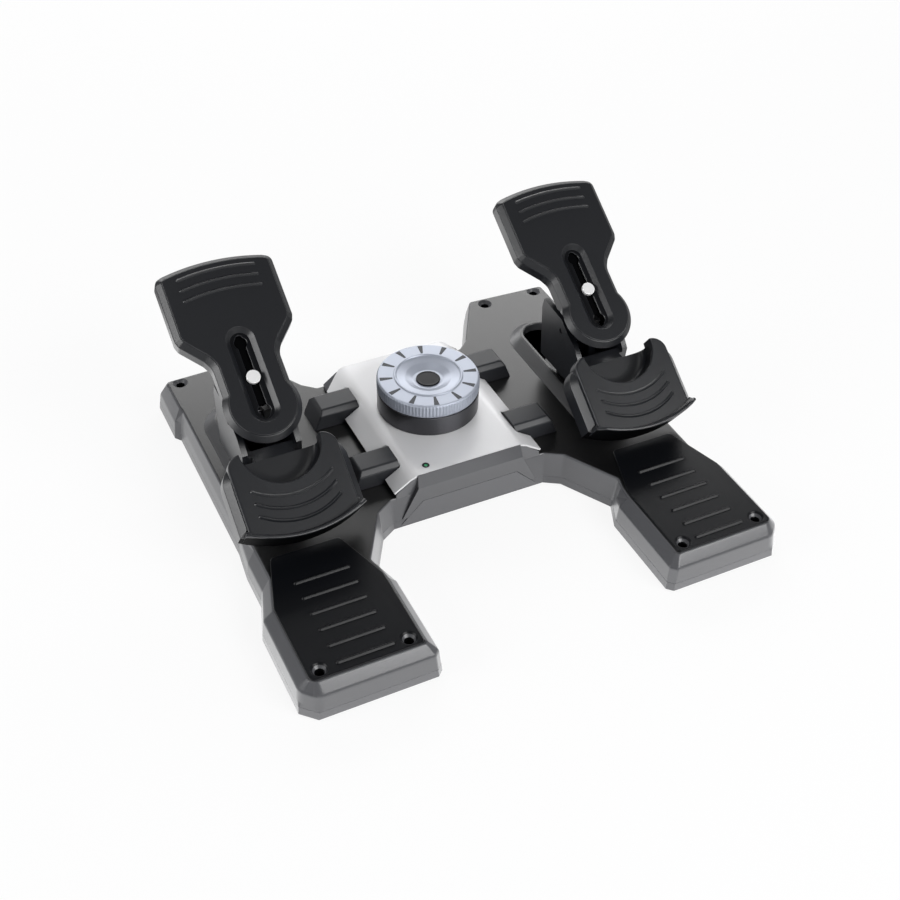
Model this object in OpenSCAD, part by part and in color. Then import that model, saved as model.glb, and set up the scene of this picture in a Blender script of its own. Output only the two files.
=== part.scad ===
// Flight simulator rudder pedals. +X right, +Y away from the user, +Z up.
// The origin is on the floor in the middle of the base.

/* [Base] */
// Width of the base over the heel blocks
base_w = 443; // [425:1:460]
// Depth of the base from heel edge to rear edge
base_d = 416; // [406:1:430]
// Height of the deck above the floor
deck_h = 34; // [33:0.5:37]
// Thickness of the housing walls
wall = 3; // [2:0.1:3.4]
// Height of the line where the two housings meet
parting_h = 9.5; // [8.5:0.1:11]
// Thickness of the rubber feet
foot_h = 2; // [1:0.1:2.4]
// Width of a heel block at the floor
heel_w = 117.5; // [110.5:0.5:122]
// Number of ribs on a heel pad
rib_count = 6; // [4:1:6]
// Distance from rib to rib
rib_pitch = 17.9; // [14:0.1:18.2]

/* [Hub] */
// Half the width of the flat part of the hub plate
plate_hw = 50; // [46:0.5:54]
// Height of the top of the hub plate
plate_h = 53; // [52:0.5:57]
// Thickness of the hub plate
plate_t = 2; // [1:0.1:2.5]
// Width of a link hood
hood_w = 30; // [24:1:34]
// Share of the way from the hub to the raised rim that a hood takes up
hood_share = 0.536; // [0.416:0.01:0.616]

/* [Slots] */
// Half the width of a slot
slot_hw = 17.5; // [16.6:0.1:19]
// Length of a slot
slot_l = 178; // [172:1:182]
// Height of the raised rim above the deck
rim_h = 5; // [3:0.5:5.4]

/* [Dial] */
// Radius of the tension dial
dial_r = 46.6; // [42:0.2:48]
// Height of the tension dial
dial_h = 13.2; // [10:0.2:16]
// Height of the collar below the dial
collar_h = 19.4; // [14:0.2:22]
// Number of knurls round the dial
knurl_count = 96; // [60:1:120]
// Radius of the tension shaft
shaft_r = 5; // [4:0.1:6]

/* [Linkage] */
// Distance from a pedal pivot to the outer edge of the heel block
link_in = 60.1; // [59.3:0.1:60.9]
// Distance between the two link bars
link_gap = 91; // [88:0.5:93]
// Width of a link bar
bar_w = 22; // [18:0.5:23]
// Thickness of a link bar
bar_t = 6; // [5:0.1:6.2]
// Radius of the posts that the bars turn on
post_r = 5; // [4:0.1:6]
// Radius of the pedal pivot pins
pin_r = 4; // [3:0.1:5]

/* [Pedal] */
// Half the width of the stem in its slot
stem_hw = 12.5; // [11:0.1:12.9]
// Half the width over the ears of the carriage
ear_hw = 26.5; // [26:0.1:27]
// Thickness of an ear
ear_t = 5; // [4:0.1:5.4]
// Radius of the brake axle
axle_r = 2.5; // [2:0.1:3.5]
// Slope of the toe plate in degrees
toe_tilt = 31.8; // [31:0.1:32.4]
// Slope of the heel cup in degrees
cup_tilt = 34.36; // [33:0.1:35]

/* [Toe plate] */
// Half the width of the toe plate's head
head_hw = 52; // [48:0.5:56]
// Half the width of the toe plate's neck
neck_hw = 29.5; // [29:0.1:31]
// Radius of the toe plate's round end
disc_r = 33.5; // [32:0.1:33.6]
// Depth of the toe plate's edge
skirt_h = 17; // [15:0.5:20]
// Half the width of the clamp slot
clamp_slot_hw = 3.75; // [3.4:0.05:4.5]
// Radius of the clamp screw's head
clamp_head_r = 6; // [5:0.1:6.6]

/* [Heel cup] */
// Half the width of the heel cup
cup_hw = 47.5; // [46:0.5:49]
// Radius of the round notch in the heel cup
cup_notch_r = 35; // [34.6:0.1:36]
// Height of the heel cup's side
cup_side_h = 15; // [12:0.5:15.5]
// Height of the lip above the heel cup's face
lip_h = 9; // [5:0.5:11]

/* [Hidden] */
$fn = 64;

// Overrun of the cuts, gap between faces that slide, and play of a running fit
over = 1;
gap = 0.3;
fit = 0.05;

// Places on the base outline
half_w = base_w / 2;
link_r = half_w - link_in;
heel_y = -base_d / 2;
rear_y = base_d / 2;
heel_in_x = half_w - heel_w;
heel_corner = 12;
heel_in_corner = 5;
heel_l = 92;
heel_end_y = heel_y + heel_l;
taper_l = 34;
waist_l = 35;
waist_in = 11;
arm_taper_l = 30;
arm_in = 14.5;
rear_in = 10;
rear_block_l = 54;
rear_step_l = 6;
rear_corner = 4;
rear_deck_corner = 2;
deck_corner = 5;
deck_in_corner = 2;
rear_w = 93.5;
rear_diagonal_x = 34;
rear_diagonal_y = 62;
hub_hw = 74;
hub_front_y = -43.5;
hub_rear_y = 137;
bridge_x = 14;
bridge_y = 8.5;
neck_x = 10;
neck_y = 23;
neck_step_x = 3.5;
neck_step_y = 15;
heel_neck_l = 88;

// Heights of the lower edge of the bevel, the draft of the walls and the width of the bevel
low_heel = 25;
low_arm = 20;
low_bridge = 17;
draft_w = 2;
bevel_heel = 10.5;
bevel_arm = 5.5;
bevel_rear = 9;
bevel_bridge = 4;

waist_y = heel_end_y + taper_l;
waist_end_y = waist_y + waist_l;
arm_y = waist_end_y + arm_taper_l;
rear_block_y = rear_y - rear_block_l;
rear_in_x = half_w - rear_in - rear_w;
neck_low_y = heel_y + heel_neck_l;

// Right half of the base outline with sharp corners: x, y, height of the bevel's lower edge,
// width of the bevel, corner cut at the floor, corner cut at the deck
half_outline = [
    [hub_hw, hub_front_y, low_bridge, bevel_bridge, 0, 0],
    [hub_hw + bridge_x, hub_front_y - bridge_y, low_bridge, bevel_bridge, 0, 0],
    [heel_in_x + neck_x, neck_low_y + neck_y, low_bridge, bevel_bridge, 0, 0],
    [heel_in_x + neck_x - neck_step_x, neck_low_y + neck_step_y, low_arm, bevel_arm, 0, 0],
    [heel_in_x, neck_low_y, low_heel, bevel_heel, 0, 0],
    [heel_in_x, heel_y, low_heel, bevel_heel, heel_in_corner, deck_in_corner],
    [half_w, heel_y, low_heel, bevel_heel, heel_corner, deck_corner],
    [half_w, heel_end_y, low_heel, bevel_heel, 0, 0],
    [half_w - waist_in, waist_y, low_arm, bevel_rear, 0, 0],
    [half_w - waist_in, waist_end_y, low_arm, bevel_rear, 0, 0],
    [half_w - arm_in, arm_y, low_arm, bevel_arm, 0, 0],
    [half_w - arm_in, rear_block_y - rear_step_l, low_arm, bevel_arm, 0, 0],
    [half_w - rear_in, rear_block_y, low_arm, bevel_rear, 0, 0],
    [half_w - rear_in, rear_y, low_arm, bevel_rear, rear_corner, rear_deck_corner],
    [rear_in_x, rear_y, low_arm, bevel_arm, 0, 0],
    [rear_in_x - rear_diagonal_x, rear_y - rear_diagonal_y, low_arm, bevel_bridge, 0, 0],
    [hub_hw, hub_rear_y, low_arm, bevel_bridge, 0, 0]
];
outline = concat(half_outline, [for (i = [len(half_outline) - 1 : -1 : 0])
    [for (k = [0 : 5]) k == 0 ? -half_outline[i].x : half_outline[i][k]]]);

// Floor, ceiling and the levels of the moving pieces
floor_z = foot_h + wall;
roof_z = deck_h - wall;
bar_z = 8;
bar_top = bar_z + bar_t;
plate_gap = 0.5;
foot_plate_t = 6;
foot_plate_z = bar_top + plate_gap;
foot_plate_top = foot_plate_z + foot_plate_t;
front_pivot_y = -3;
rear_pivot_y = front_pivot_y + link_gap;
mid_y = 47;

// Hub block under the plate
hub_side_x = 66;
hub_shoulder_h = 41;
hub_edge_x = plate_hw + plate_t / 2;
hub_face_t = 4.3;
hub_lip = 0.4;
tongue_h = 25.5;
tongue_hw = 46;
tongue_foot_hw = 62;
seam = 0.2;
plate_front_y = hub_front_y + hub_face_t + gap / 2;
plate_rear_y = 130;
crease_x = 7;
crease_drop = 3;
flank_x = 22;
flank_drop = 13;
rear_chamfer_x = 18;
rear_chamfer_y = 16;
hub_root_z = 20;
notch_gap = 1.2;

// Hoods over the link arms
hood_in_x = 58;
hood_foot_x = 9;
hood_chamfer = 4.5;
hood_wall = 2.5;

// Slots and rims
slot_in = 3;
slot_shift = 3.5;
slot_x = link_r - slot_in;
slot_y = (front_pivot_y + rear_pivot_y) / 2 + slot_shift;
rim_foot_hw = 34;
rim_foot_l = 198;
rim_top_w = 3;
hood_x = hub_hw + hood_share * (slot_x - rim_foot_hw - hub_hw) - hood_foot_x;

// Foot rest pads on the heel blocks
pad_h = 1.2;
pad_in_x = 12;
pad_front_in = 11;
pad_out_x = 11.5;
pad_back_y = 92;
pad_end_gap = 10;
pad_end_y = slot_y - rim_foot_l / 2 - heel_y - pad_end_gap;
pad_end_in_x = 29;
pad_end_out_x = 27.5;
rib_x = 58;
rib_l = 48.7;
rib_w = 3;
rib_h = 1.8;
rib_front = 20;

// Countersunk holes for fixing screws
fix_r = 3;
fix_sink_r = 7;
fix_sink_h = 4;
fix_boss_r = 6.5;
fix_heel_y = 20;
fix_heel_in_x = 22;
fix_heel_out_x = 21.5;
fix_rear_y = 15.5;
fix_rear_in_x = 16;
fix_rear_out_x = 30.5;
heel_holes = [
    [heel_in_x + fix_heel_in_x, heel_y + fix_heel_y],
    [half_w - fix_heel_out_x, heel_y + fix_heel_y]
];
rear_holes = [
    [rear_in_x + fix_rear_in_x, rear_y - fix_rear_y],
    [half_w - fix_rear_out_x, rear_y - fix_rear_y]
];
fix_holes = concat(heel_holes, rear_holes);

// Screws that join the housings, from below
join_r = 1.6;
join_boss_r = 4.5;
join_head_r = 3.2;
join_head_h = 2;
join_hole_r = 1.9;
join_pad_r = 6.5;
join_seat_z = floor_z + wall / 2;
join_depth = 12;
join_heel_y = 58;
join_rear_y = 33;
join_hub_x = 40;
join_front_in = 9.5;
join_rear_in = 13;
join_out = 1.6;
join_x = link_r + join_out;
join_places = [
    [join_x, heel_y + join_heel_y],
    [join_x, rear_y - join_rear_y],
    [join_hub_x, hub_front_y + join_front_in],
    [join_hub_x, hub_rear_y - join_rear_in]
];

// Rubber feet
foot_r = 9;
foot_in = 26;
foot_places = [
    [heel_in_x + foot_in, heel_y + 2 * foot_in],
    [half_w - foot_in, heel_y + 2 * foot_in],
    [rear_in_x + foot_in, rear_y - 2 * foot_in],
    [half_w - 2 * foot_in, rear_y - 2 * foot_in],
    [hub_hw - foot_in, hub_front_y + foot_in],
    [hub_hw - foot_in, hub_rear_y - foot_in]
];

// Pivot posts, bushings and the centring spring
post_flange_r = 12;
post_flange_h = bar_z - gap - floor_z;
post_top = 28;
rear_post_rise = 1.5;
rear_post_top = bar_top + rear_post_rise;
bush_t = 3;
spring_wire = 1.3;
spring_t = 3;
spring_h = 9;
spring_leg_x = 27;
lug_r = 2;
lug_h = 5;

// Tongue of the front bar, under the friction pad
friction_hw = 28;
friction_l = 64;
friction_pad_r = 12;
friction_pad_t = 1.7;
shaft_disc_t = 4;

// Sensor on the rear bar
sensor_r = 9;
sensor_h = 10;
sensor_z = 26;
sensor_shaft_r = 3;
sensor_plate_t = 2;
sensor_plate_z = 18;
sensor_leg_x = 17;
sensor_leg_w = 3;
sensor_leg_l = 14;
sensor_boss_r = 7;

// Circuit board and its lamp
led_x = -38;
led_y = -30;
led_r = 2.6;
led_ring_r = 3.6;
led_ring_h = 0.6;
board_z = 36;
board_t = 1.6;
board_w = 90;
board_l = 24;
board_y = -24;
board_hole_x = 34;
board_hole_y = -18;
board_screw_r = 1.2;
board_boss_r = 3.4;
board_head_r = 2.4;
board_head_h = 1.6;

// Cable gland in the rear wall
gland_r = 5;
gland_flange_r = 7.5;
gland_flange_t = 2.5;
gland_bore_r = 2.2;
gland_z = 21;
gland_in = 9;

// Dial
cap_r = 11.9;
cap_t = 1.5;
dish_r = 29;
dish_ring_w = 2.2;
dish_ring_h = 1.1;
dish_drop = 5.2;
knurl_depth = 0.8;
knurl_in_h = 1.6;
dial_hub_r = 12;
dial_wall = 3;
collar_wall = 3;
collar_hub_r = 10;
collar_z = plate_h;
dial_z = collar_z + collar_h + gap;
dial_top = dial_z + dial_h;

// Carriage: foot plate and the side view above the slot
foot_plate_hw = 13;
stem_hl = 31;
stem_y = 46;
stem_wall = 4;
stem_neck_rise = 16;
web_rise = 46;
axle_rise = 62;
stem_neck_z = deck_h + stem_neck_rise;
web_top = deck_h + web_rise;
axle_y = 45;
axle_z = deck_h + axle_rise;
pin_head_r = 6.5;
pin_head_h = 1.3;
open_fit = 0.3;
side_view = [
    [stem_y - stem_hl, stem_neck_z],
    [stem_y + stem_hl, stem_neck_z],
    [stem_y + stem_hl + stem_wall, axle_z + ear_t],
    [axle_y + disc_r, axle_z + skirt_h - stem_wall / 2],
    [axle_y, axle_z + stem_hw],
    [axle_y - stem_hw, axle_z + stem_wall],
    [axle_y - 2 * stem_hw, axle_z - stem_wall / 2],
    [stem_y - stem_hl - stem_wall, axle_z - stem_hw]
];

// Toe plate: the slope starts at toe_y, toe_z and its face is at depth zero
toe_y = -50.04;
toe_rise = 41.87;
toe_z = deck_h + toe_rise;
disc_s = 88;
neck_s = 96;
neck_end_s = 130;
shoulder_x = 50;
shoulder_s = 155;
shoulder_in_x = 34;
shoulder_in_s = 138;
head_s = 158;
head_top_s = 213.5;
head_corner_r = 7;
head_arc_r = 190;
head_mid_s = 226.5;
face_in = 5;
face_edge = 5;
face_edge_in = 3;
face_edge_h = 1.5;
disc_t = 5.5;
skirt_cut_s = 12;
toe_wall = 3;
toe_top_t = 3;
recess_hw = 12;
recess_wall = 3;
recess_low_s = 84;
recess_high_s = 147;
recess_h = 4;
recess_floor_t = 2.5;
key_r = 5.75;
key_low_s = 82.5;
key_high_s = 147;
toe_rib_hw = 33.5;
toe_rib_w = 2.8;
toe_rib_h = 1.2;
toe_rib_first = 11;
toe_rib_pitch = 9.8;
toe_rib_count = 3;

// Toe lever under the plate
clamp_s = 113.2;
clamp_r = 3;
clamp_nut_h = 3;
yoke_hw = 20.5;
yoke_t = 5;
yoke_low_s = 90;
yoke_high_s = 160;
yoke_hub_r = 9;
cheek_t = 5;
yoke_top_n = -recess_h - recess_floor_t - gap;

// Heel cup: the slope starts at cup_y, cup_z and its face is at depth zero
cup_y = -54.86;
cup_rise = 41.85;
cup_z = deck_h + cup_rise;
cup_corner_r = 13;
cup_top_s = 54.5;
cup_notch_s = 56;
cup_arc_r = 110;
cup_bottom_s = -25;
cup_wall = 3;
tray_out = 6.5;
tray_corner_r = 19;
tray_top_s = 50;
tray_h = 11.5;
panel_t = 2.5;
panel_n = -cup_side_h - tray_h + panel_t;
lip_t = 3.2;
lip_hw = 51.5;
cup_rib_w = 2.8;
cup_rib_h = 1.2;
cup_rib_hw = 34.5;
cup_rib_r = 60;
cup_rib_first = 35;
cup_rib_pitch = 10.7;
bow_count = 12;
bow_end_count = 6;
cup_rib_count = 3;
bracket_hw = 18;
bracket_t = 10;
bracket_low_s = 20;
bracket_mid_s = 32;
cup_screw_r = 2;
cup_screw_x = 11;
cup_screw_s = 26;
cup_screw_head_r = 3.6;
cup_screw_head_h = 2.4;

// Sensor and spring of the brake
brake_sensor_x = 7;
brake_sensor_t = 7;
brake_sensor_w = 16;
brake_post_w = 10;
brake_spring_x = -7;
brake_spring_w = 10;
brake_spring_t = 3;
brake_wire = 1;

charcoal = [0.27, 0.27, 0.29];
black = [0.13, 0.13, 0.15];
silver = [0.78, 0.78, 0.8];
blue_grey = [0.6, 0.64, 0.72];
dark_metal = [0.3, 0.3, 0.33];
steel = [0.72, 0.73, 0.75];
brass = [0.75, 0.62, 0.35];
rubber = [0.08, 0.08, 0.09];
green = [0.2, 0.55, 0.35];
white = [0.92, 0.92, 0.92];

// Moves each point of a closed outline inwards by its own amount
function turned(v) = [-v.y, v.x];
function unit(v) = v / norm(v);
function inset(p, d) = [for (i = [0 : len(p) - 1])
    let (a = p[(i + len(p) - 1) % len(p)])
    let (b = p[i])
    let (c = p[(i + 1) % len(p)])
    let (u = turned(unit([b.x - a.x, b.y - a.y])))
    let (v = turned(unit([c.x - b.x, c.y - b.y])))
    [b.x, b.y] + d[i] * (u + v) / (1 + u * v)];
function same(p, d) = [for (i = p) d];
function level(p, z) = [for (q = p) [q.x, q.y, z]];

// Solid through closed rings of points, from the lowest to the highest. Its ends are closed by the
// faces in caps, each a list of point numbers
module loft(rings, caps = []) {
    n = len(rings[0]);
    points = [for (r = rings) each r];
    ends = len(caps) > 0 ? caps : [[for (i = [0 : n - 1]) i]];
    bottom = ends;
    top = [for (f = ends) [for (i = [len(f) - 1 : -1 : 0]) (len(rings) - 1) * n + f[i]]];
    sides = [for (k = [0 : len(rings) - 2]) for (i = [0 : n - 1])
        let (a = k * n + i)
        let (b = k * n + (i + 1) % n)
        each [[a, a + n, b + n], [a, b + n, b]]];
    polyhedron(points, concat(bottom, top, sides));
}

// Both halves of the object
module both() {
    children();
    mirror([1, 0, 0]) children();
}

// Vertical cylinder from one height to another
module rod(r, z0, z1) {
    translate([0, 0, z0]) cylinder(r = r, h = z1 - z0);
}

// Flat shape with round ends, along Y
module stadium(hw, hl) {
    translate([0, hl - hw]) circle(r = hw);
    translate([0, hw - hl]) circle(r = hw);
    square([2 * hw, 2 * (hl - hw)], center = true);
}

// Ring of the base: inset by each point's own amount d, corners cut by c, at the heights z
function ring(d, c, z) = let (p = inset(outline, d)) [for (i = [0 : len(p) - 1])
    let (a = p[(i + len(p) - 1) % len(p)])
    let (b = p[i])
    let (e = p[(i + 1) % len(p)])
    each c[i] == 0
        ? [[b.x, b.y, z[i]]]
        : [concat(b + c[i] * unit(a - b), z[i]), concat(b + c[i] * unit(e - b), z[i])]];

// Faces that close the base: the right half, its mirror image and the middle
half_count = 20;
right_caps = [
    [4, 5, 6, 7, 8, 9], [3, 4, 9, 10], [2, 3, 10, 11], [1, 2, 11, 12], [0, 1, 12, 13, 18, 19],
    [13, 14, 15, 16, 17, 18]
];
base_caps = concat(right_caps,
    [for (f = right_caps) [for (i = [len(f) - 1 : -1 : 0]) 2 * half_count - 1 - f[i]]],
    [[0, half_count - 1, half_count, 2 * half_count - 1]]);

lows = [for (q = outline) q[2]];
bevels = [for (q = outline) q[3]];
floor_cuts = [for (q = outline) q[4]];
deck_cuts = [for (q = outline) q[5]];
parting_draft = [for (z = lows) draft_w * (parting_h - foot_h) / (z - foot_h)];
under_h = parting_h - over;
under_draft = [for (z = lows) wall + draft_w * (under_h - foot_h) / (z - foot_h)];
above_h = parting_h + over;
above_draft = [for (z = lows) wall + draft_w * (above_h - foot_h) / (z - foot_h)];

// Outside and inside of the lower housing
module lower_outer() {
    loft([
        ring(same(outline, 0), floor_cuts, same(outline, foot_h)),
        ring(parting_draft, floor_cuts, same(outline, parting_h))
    ], base_caps);
}

module lower_inner() {
    loft([
        ring(same(outline, wall), floor_cuts, same(outline, floor_z)),
        ring(above_draft, floor_cuts, same(outline, above_h))
    ], base_caps);
}

// Outside and inside of the upper housing
module upper_outer() {
    loft([
        ring(parting_draft, floor_cuts, same(outline, parting_h)),
        ring(same(outline, draft_w), floor_cuts, lows),
        ring(bevels, deck_cuts, same(outline, deck_h))
    ], base_caps);
}

module upper_inner() {
    loft([
        ring(under_draft, floor_cuts, same(outline, under_h)),
        ring(same(outline, draft_w + wall), floor_cuts, lows),
        ring([for (d = bevels) d + wall / 2], deck_cuts, same(outline, roof_z))
    ], base_caps);
}

// Section of the hub, its top lowered by drop and its sides drawn in by side
function hub_section(drop, side) = [
    [-(plate_hw + flank_x - side), hub_root_z],
    [plate_hw + flank_x - side, hub_root_z],
    [plate_hw + flank_x - side, plate_h - flank_drop - drop],
    [plate_hw + crease_x, plate_h - crease_drop - drop],
    [plate_hw, plate_h - drop],
    [-plate_hw, plate_h - drop],
    [-(plate_hw + crease_x), plate_h - crease_drop - drop],
    [-(plate_hw + flank_x - side), plate_h - flank_drop - drop]
];

module hub_prism(drop, side, y0, y1) {
    translate([0, y1, 0]) rotate([90, 0, 0]) linear_extrude(y1 - y0) polygon(hub_section(drop, side));
}

// Front face of the hub with its bevel
module hub_face() {
    back = hub_front_y + hub_face_t;
    loft([
        [[-hub_side_x, hub_front_y, above_h], [hub_side_x, hub_front_y, above_h],
            [hub_side_x, back, above_h], [-hub_side_x, back, above_h]],
        [[-hub_edge_x, hub_front_y, hub_shoulder_h], [hub_edge_x, hub_front_y, hub_shoulder_h],
            [hub_edge_x, back, hub_shoulder_h], [-hub_edge_x, back, hub_shoulder_h]],
        [[-plate_hw, back - hub_lip, plate_h], [plate_hw, back - hub_lip, plate_h],
            [plate_hw, back, plate_h], [-plate_hw, back, plate_h]]
    ]);
}

// Tongue of the lower housing in front of the hub, widened by grow and carried down by drop
module tongue(grow, drop, y0, y1) {
    slope = (tongue_foot_hw - tongue_hw) / (tongue_h - parting_h);
    foot_hw = tongue_foot_hw + grow + drop * slope;
    translate([0, y1, 0]) rotate([90, 0, 0]) linear_extrude(y1 - y0) polygon([
        [-foot_hw, parting_h - drop], [foot_hw, parting_h - drop],
        [tongue_hw + grow, tongue_h + grow], [-tongue_hw - grow, tongue_h + grow]
    ]);
}

module fix_cuts() {
    both() for (p = fix_holes) translate([p.x, p.y, 0]) rod(fix_r, -over, deck_h + over);
}

module lower_housing() color(charcoal) {
    difference() {
        union() {
            difference() {
                lower_outer();
                lower_inner();
            }
            tongue(0, parting_h - foot_h - wall / 2, hub_front_y, hub_front_y + hub_face_t);
            both() for (p = join_places) translate([p.x, p.y, 0]) rod(join_pad_r, foot_h, join_seat_z + wall);
        }
        fix_cuts();
        both() for (p = join_places) translate([p.x, p.y, 0]) {
            rod(join_hole_r, -over, floor_z + 2 * wall);
            rod(join_head_r + gap, -over, join_seat_z);
        }
    }
}

module rim_solid() {
    hull() {
        for (side = [-1, 1])
            translate([slot_x, slot_y + side * (rim_foot_l / 2 - rim_foot_hw), deck_h - wall / 2])
                cylinder(r = rim_foot_hw, h = over, $fn = 32);
        for (side = [-1, 1]) translate([slot_x, slot_y + side * (slot_l / 2 - slot_hw), deck_h])
            cylinder(r = slot_hw + rim_top_w, h = rim_h, $fn = 32);
    }
}

// Countersink of a fixing screw whose wide end is at height z
module fix_sink(p, z) {
    translate([p.x, p.y, z - fix_sink_h]) cylinder(r1 = fix_r, r2 = fix_sink_r, h = fix_sink_h);
}

module heel_pad() {
    a = heel_in_x + pad_in_x;
    b = half_w - pad_out_x;
    linear_extrude(pad_h) polygon([
        [a, heel_y + pad_front_in], [b, heel_y + pad_front_in],
        [b, heel_y + pad_back_y], [half_w - pad_end_out_x, heel_y + pad_end_y],
        [heel_in_x + pad_end_in_x, heel_y + pad_end_y], [a, heel_y + pad_back_y]
    ]);
    for (i = [0 : rib_count - 1])
        translate([heel_in_x + rib_x, heel_y + rib_front + i * rib_pitch, 0])
            linear_extrude(pad_h + rib_h) rotate([0, 0, 90]) stadium(rib_w / 2, rib_l / 2);
}

module heel_pads() color(charcoal) both() difference() {
    translate([0, 0, deck_h]) heel_pad();
    for (p = heel_holes) fix_sink(p, deck_h + pad_h);
}

module upper_housing() color(charcoal) {
    difference() {
        union() {
            difference() {
                union() {
                    upper_outer();
                    hub_face();
                    hub_prism(plate_t, plate_t, hub_front_y + hub_face_t - hub_lip / 2, plate_rear_y);
                    both() rim_solid();
                }
                upper_inner();
                hub_prism(plate_t + wall, plate_t + wall, plate_front_y + wall, plate_rear_y - wall);
                tongue(seam, over, hub_front_y - over, hub_front_y + hub_face_t + over);
            }
            both() for (p = fix_holes) translate([p.x, p.y, 0]) rod(fix_boss_r, floor_z, deck_h - over);
            both() for (p = join_places) translate([p.x, p.y, 0])
                rod(join_boss_r, join_seat_z + wall, roof_z + over);
            translate([0, rear_pivot_y, 0]) rod(sensor_boss_r, sensor_z + sensor_h, plate_h - plate_t - over);
            both() translate([board_hole_x, board_hole_y, 0])
                rod(board_boss_r, board_z + board_t, plate_h - plate_t - over);
        }
        both() translate([slot_x, slot_y, -over]) linear_extrude(2 * plate_h) stadium(slot_hw, slot_l / 2);
        fix_cuts();
        both() for (p = rear_holes) fix_sink(p, deck_h);
        both() for (p = heel_holes) fix_sink(p, deck_h + pad_h);
        both() for (p = join_places) translate([p.x, p.y, 0])
            rod(join_r, 0, join_seat_z + wall + join_depth);
        both() translate([board_hole_x, board_hole_y, 0]) rod(board_screw_r, 0, board_z + 4 * board_head_r);
        translate([led_x, led_y, 0]) rod(led_r + gap, board_z, plate_h + over);
        translate([0, mid_y, 0]) rod(shaft_r + 4 * gap, deck_h, plate_h + over);
        translate([0, hub_rear_y + over, gland_z]) rotate([90, 0, 0])
            cylinder(r = gland_r, h = gland_in + over);
    }
}

// Cuts in the hub plate round the hoods
module hood_notches() {
    for (y = [front_pivot_y, rear_pivot_y])
        translate([hood_in_x - notch_gap, y - hood_w / 2 - notch_gap, deck_h])
            cube([hub_hw, hood_w + 2 * notch_gap, plate_h]);
}

module hub_plate() color(silver) {
    difference() {
        hub_prism(0, 0, plate_front_y, plate_rear_y);
        hub_prism(plate_t, plate_t, plate_front_y - over, plate_rear_y + over);
        translate([-hub_hw, plate_front_y - over, 0])
            cube([2 * hub_hw, base_d, plate_h - flank_drop - plate_t]);
        both() hood_notches();
        both() linear_extrude(2 * plate_h) polygon([
            [plate_hw + flank_x + over, plate_rear_y - rear_chamfer_y],
            [plate_hw + flank_x + over, plate_rear_y + over],
            [plate_hw + flank_x - rear_chamfer_x, plate_rear_y + over],
            [plate_hw + flank_x - rear_chamfer_x, plate_rear_y]
        ]);
        translate([led_x, led_y, 0]) rod(led_r + gap, deck_h, plate_h + over);
        translate([0, mid_y, 0]) rod(shaft_r + 4 * gap, deck_h, plate_h + over);
    }
}

module hood(y, t) {
    y0 = y - hood_w / 2 + t;
    y1 = y + hood_w / 2 - t;
    z2 = plate_h - t;
    x0 = hood_in_x + t;
    x1 = hood_x + hood_foot_x - t;
    xm = hood_x + hood_foot_x / 3 - t;
    x2 = hood_x - t;
    c = hood_chamfer;
    loft([
        [[x0, y0, deck_h], [x1, y0, deck_h], [x1, y1, deck_h], [x0, y1, deck_h]],
        [[x0, y0, z2 - c], [xm, y0, z2 - c], [xm, y1, z2 - c], [x0, y1, z2 - c]],
        [[x0, y0 + c, z2], [x2, y0 + c, z2], [x2, y1 - c, z2], [x0, y1 - c, z2]]
    ]);
}

module hood_pair(y) {
    both() difference() {
        hood(y, 0);
        translate([0, 0, -hood_wall / 2]) hood(y, hood_wall);
        hub_prism(0, 0, plate_front_y, plate_rear_y);
    }
}

module front_hoods() color(charcoal) hood_pair(front_pivot_y);
module rear_hoods() color(charcoal) hood_pair(rear_pivot_y);

module knob_collar() color(dark_metal) translate([0, mid_y, collar_z]) difference() {
    cylinder(r = dial_r - gap, h = collar_h);
    difference() {
        rod(dial_r - gap - collar_wall, collar_wall, collar_h + over);
        cylinder(r = collar_hub_r, h = collar_h);
    }
    rod(shaft_r + fit, -over, collar_h + over);
}

module status_led() color(green) translate([led_x, led_y, 0]) {
    rod(led_r, board_z + board_t, plate_h + led_ring_h);
    difference() {
        rod(led_ring_r, plate_h, plate_h + led_ring_h);
        rod(led_r, plate_h - over, plate_h + led_ring_h + over);
    }
}

module circuit_board() color([0.1, 0.35, 0.2]) difference() {
    translate([-board_w / 2, board_y - board_l / 2, board_z]) cube([board_w, board_l, board_t]);
    both() translate([board_hole_x, board_hole_y, 0]) rod(board_screw_r + fit, 0, plate_h);
}

module board_screws() color(steel) both() translate([board_hole_x, board_hole_y, 0]) {
    rod(board_head_r, board_z - board_head_h, board_z);
    rod(board_screw_r, board_z - board_head_h, board_z + 3 * board_head_r);
}

module front_pivot_post() color(steel) translate([0, front_pivot_y, 0]) {
    rod(post_flange_r, floor_z, floor_z + post_flange_h);
    rod(post_r, floor_z, post_top);
}

module rear_pivot_post() color(steel) translate([0, rear_pivot_y, 0]) {
    rod(post_flange_r, floor_z, floor_z + post_flange_h);
    rod(post_r, floor_z, rear_post_top);
}

module centring_spring() color(steel) translate([0, front_pivot_y, 0]) {
    difference() {
        rod(post_r + spring_t, bar_top + gap, bar_top + gap + spring_h);
        rod(post_r, bar_top, bar_top + spring_h + over);
    }
    translate([post_r + spring_t / 2, 0, bar_top + lug_h - spring_wire]) rotate([0, 90, 0])
        cylinder(r = spring_wire, h = spring_leg_x - lug_r - gap - post_r - spring_t / 2);
}

module rudder_sensor() color(black) translate([0, rear_pivot_y, 0]) difference() {
    rod(sensor_r, sensor_z, sensor_z + sensor_h);
    rod(sensor_shaft_r + fit, sensor_z - over, sensor_z + sensor_h / 2);
}

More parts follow.
